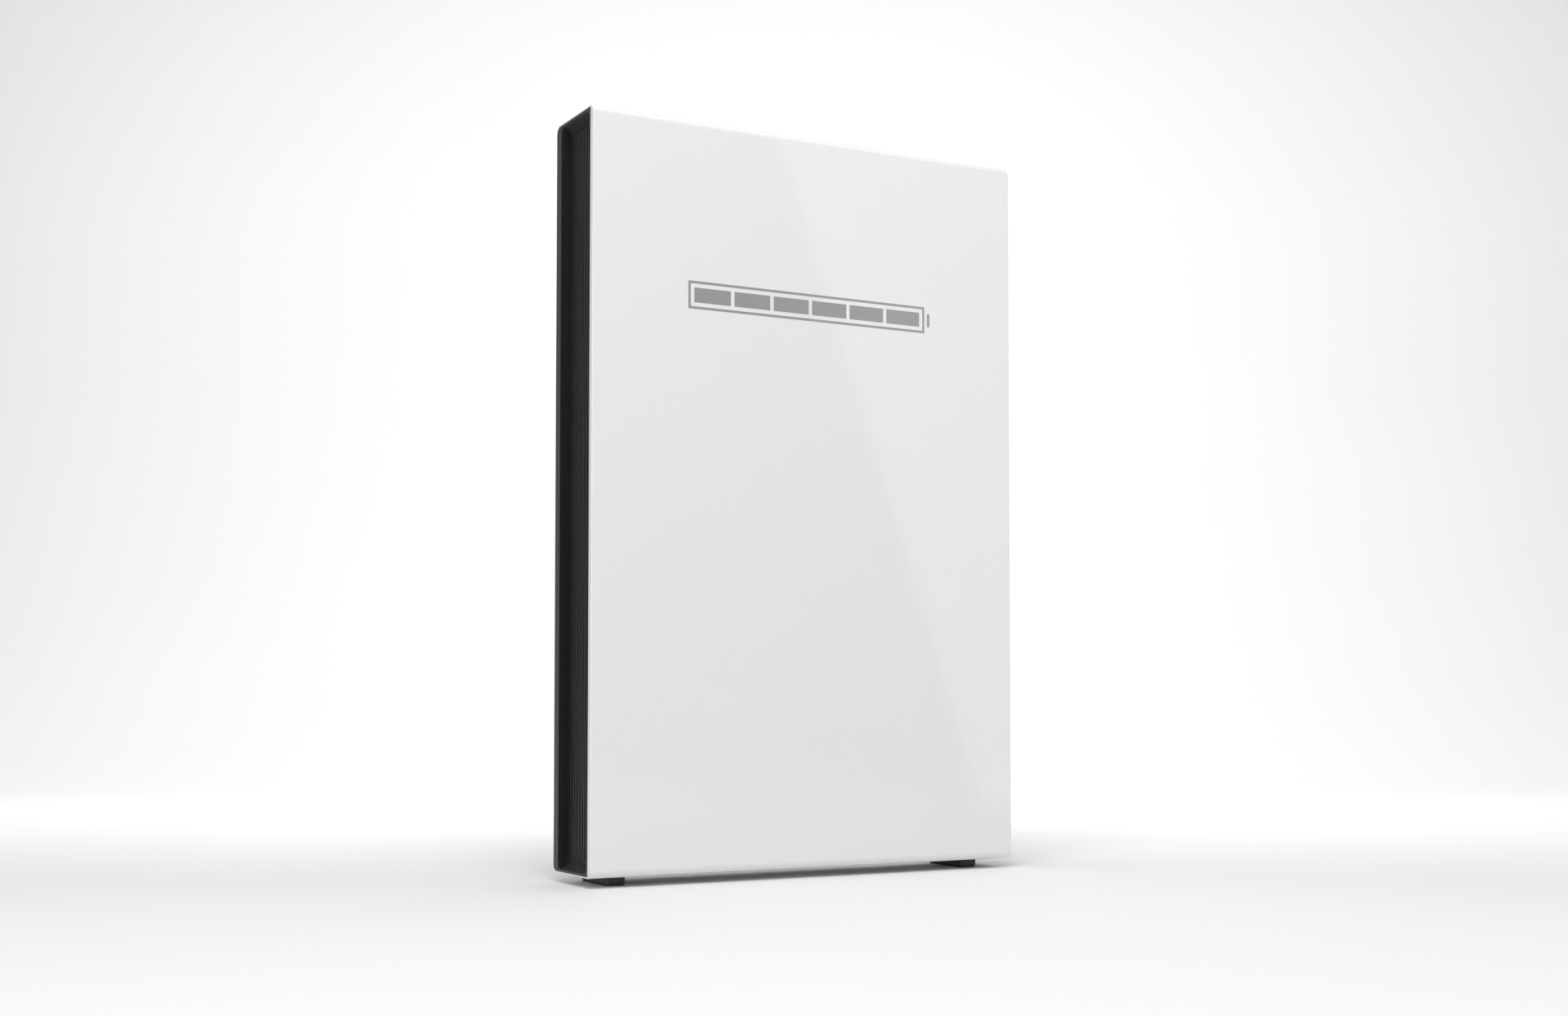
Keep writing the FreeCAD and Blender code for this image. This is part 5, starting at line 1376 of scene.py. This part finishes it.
    def lead(self, leads: Shape, plugs: Shape, path: Sequence[Sequence[float]],
             plug: Sequence[Sequence[float]], edge: float) -> None:
        """Add one lead with a plug at its start and a grommet where it enters a box.

        Args:
            leads: the leads' mesh.
            plugs: the plugs' mesh.
            path: ends and corners of the lead; its last leg runs along X.
            plug: lowest and highest corner of the plug.
            edge: rounding of the plug.
        """
        leads.pipe(path, self.lead_radius, self.lead_bend, 10)
        plugs.box(*plug, edge)
        end = Vector(path[-1])
        outside = math.copysign(0.003, path[-2][0] - end.x)
        plugs.rod(end + Vector((outside, 0.0, 0.0)), Axis.X, 0.005, 0.006, 0.0006, 16)

    def harness(self) -> None:
        """Low-voltage leads from the fans, the switch and the status lights, with plugs."""
        box, case, fan = node_box("wiring_box"), node_box("inverter_case"), node_box("upper_fan_frame")
        switch, lights = node_box("switch_body"), node_box("status_light_board")
        leads, plugs = Shape(), Shape()
        x, y, z, level = fan.low.x + 0.012, fan.centre.y + 0.02, fan.high.z, box.low.z + 0.05
        self.lead(leads, plugs, [(x, y, z), (x, y, level), (box.high.x, y, level)],
                  [(x - 0.006, y - 0.005, z), (x + 0.006, y + 0.005, z + 0.012)], 0.0008)
        x, y, z = switch.low.x, switch.centre.y, switch.centre.z
        self.lead(leads, plugs, [(x, y, z), (box.high.x, y, z)],
                  [(x - 0.012, y - 0.006, z - 0.008), (x, y + 0.006, z + 0.008)], 0.0008)
        x, y, z = lights.high.x, lights.centre.y, lights.low.z + 0.012
        self.lead(leads, plugs, [(x, y, z), (case.low.x, y, z)],
                  [(x, y - 0.003, z - 0.007), (x + 0.009, y + 0.003, z + 0.007)], 0.0006)
        self.fit("signal_leads", leads, "pad_rubber")
        self.fit("signal_plugs", plugs, "ceramic_fuse")

    def build(self) -> None:
        """Make the electronic details."""
        self.inductors()
        self.capacitors()
        self.board_parts()
        self.terminals()
        self.harness()


def main() -> None:
    """Build the studio and every sub-assembly, in order."""
    logging.basicConfig(level=logging.INFO, format="%(name)s: %(message)s")
    dress_frame()
    Studio().build()
    assemblies: list[SubAssembly] = [
        BrokenEdges(("rear_housing", "left_foot", "right_foot", "foot_pads", "upper_cleat", "lower_cleat",
                     "radiator_tanks", "pump_housing", "pump_cap", "coolant_reservoir", "reservoir_cap",
                     "wiring_box_cover", "heat_sink", "conduit_hub", "upper_fan_frame", "lower_fan_frame",
                     "battery_lid", "main_fuse", "power_transistors", "terminal_block")),
        StatusWindows(), CoverLining(), RearPlate(), BatteryPack(), CoolingLoop(),
        Fan("upper", Body.UPPER_ROTOR), Fan("lower", Body.LOWER_ROTOR), Electronics(),
        ScrewSet("lid_screws"), ScrewSet("wiring_cover_screws"), ScrewSet("board_screws"),
    ]
    for assembly in assemblies:
        assembly.build()


if __name__ == "__main__":
    main()
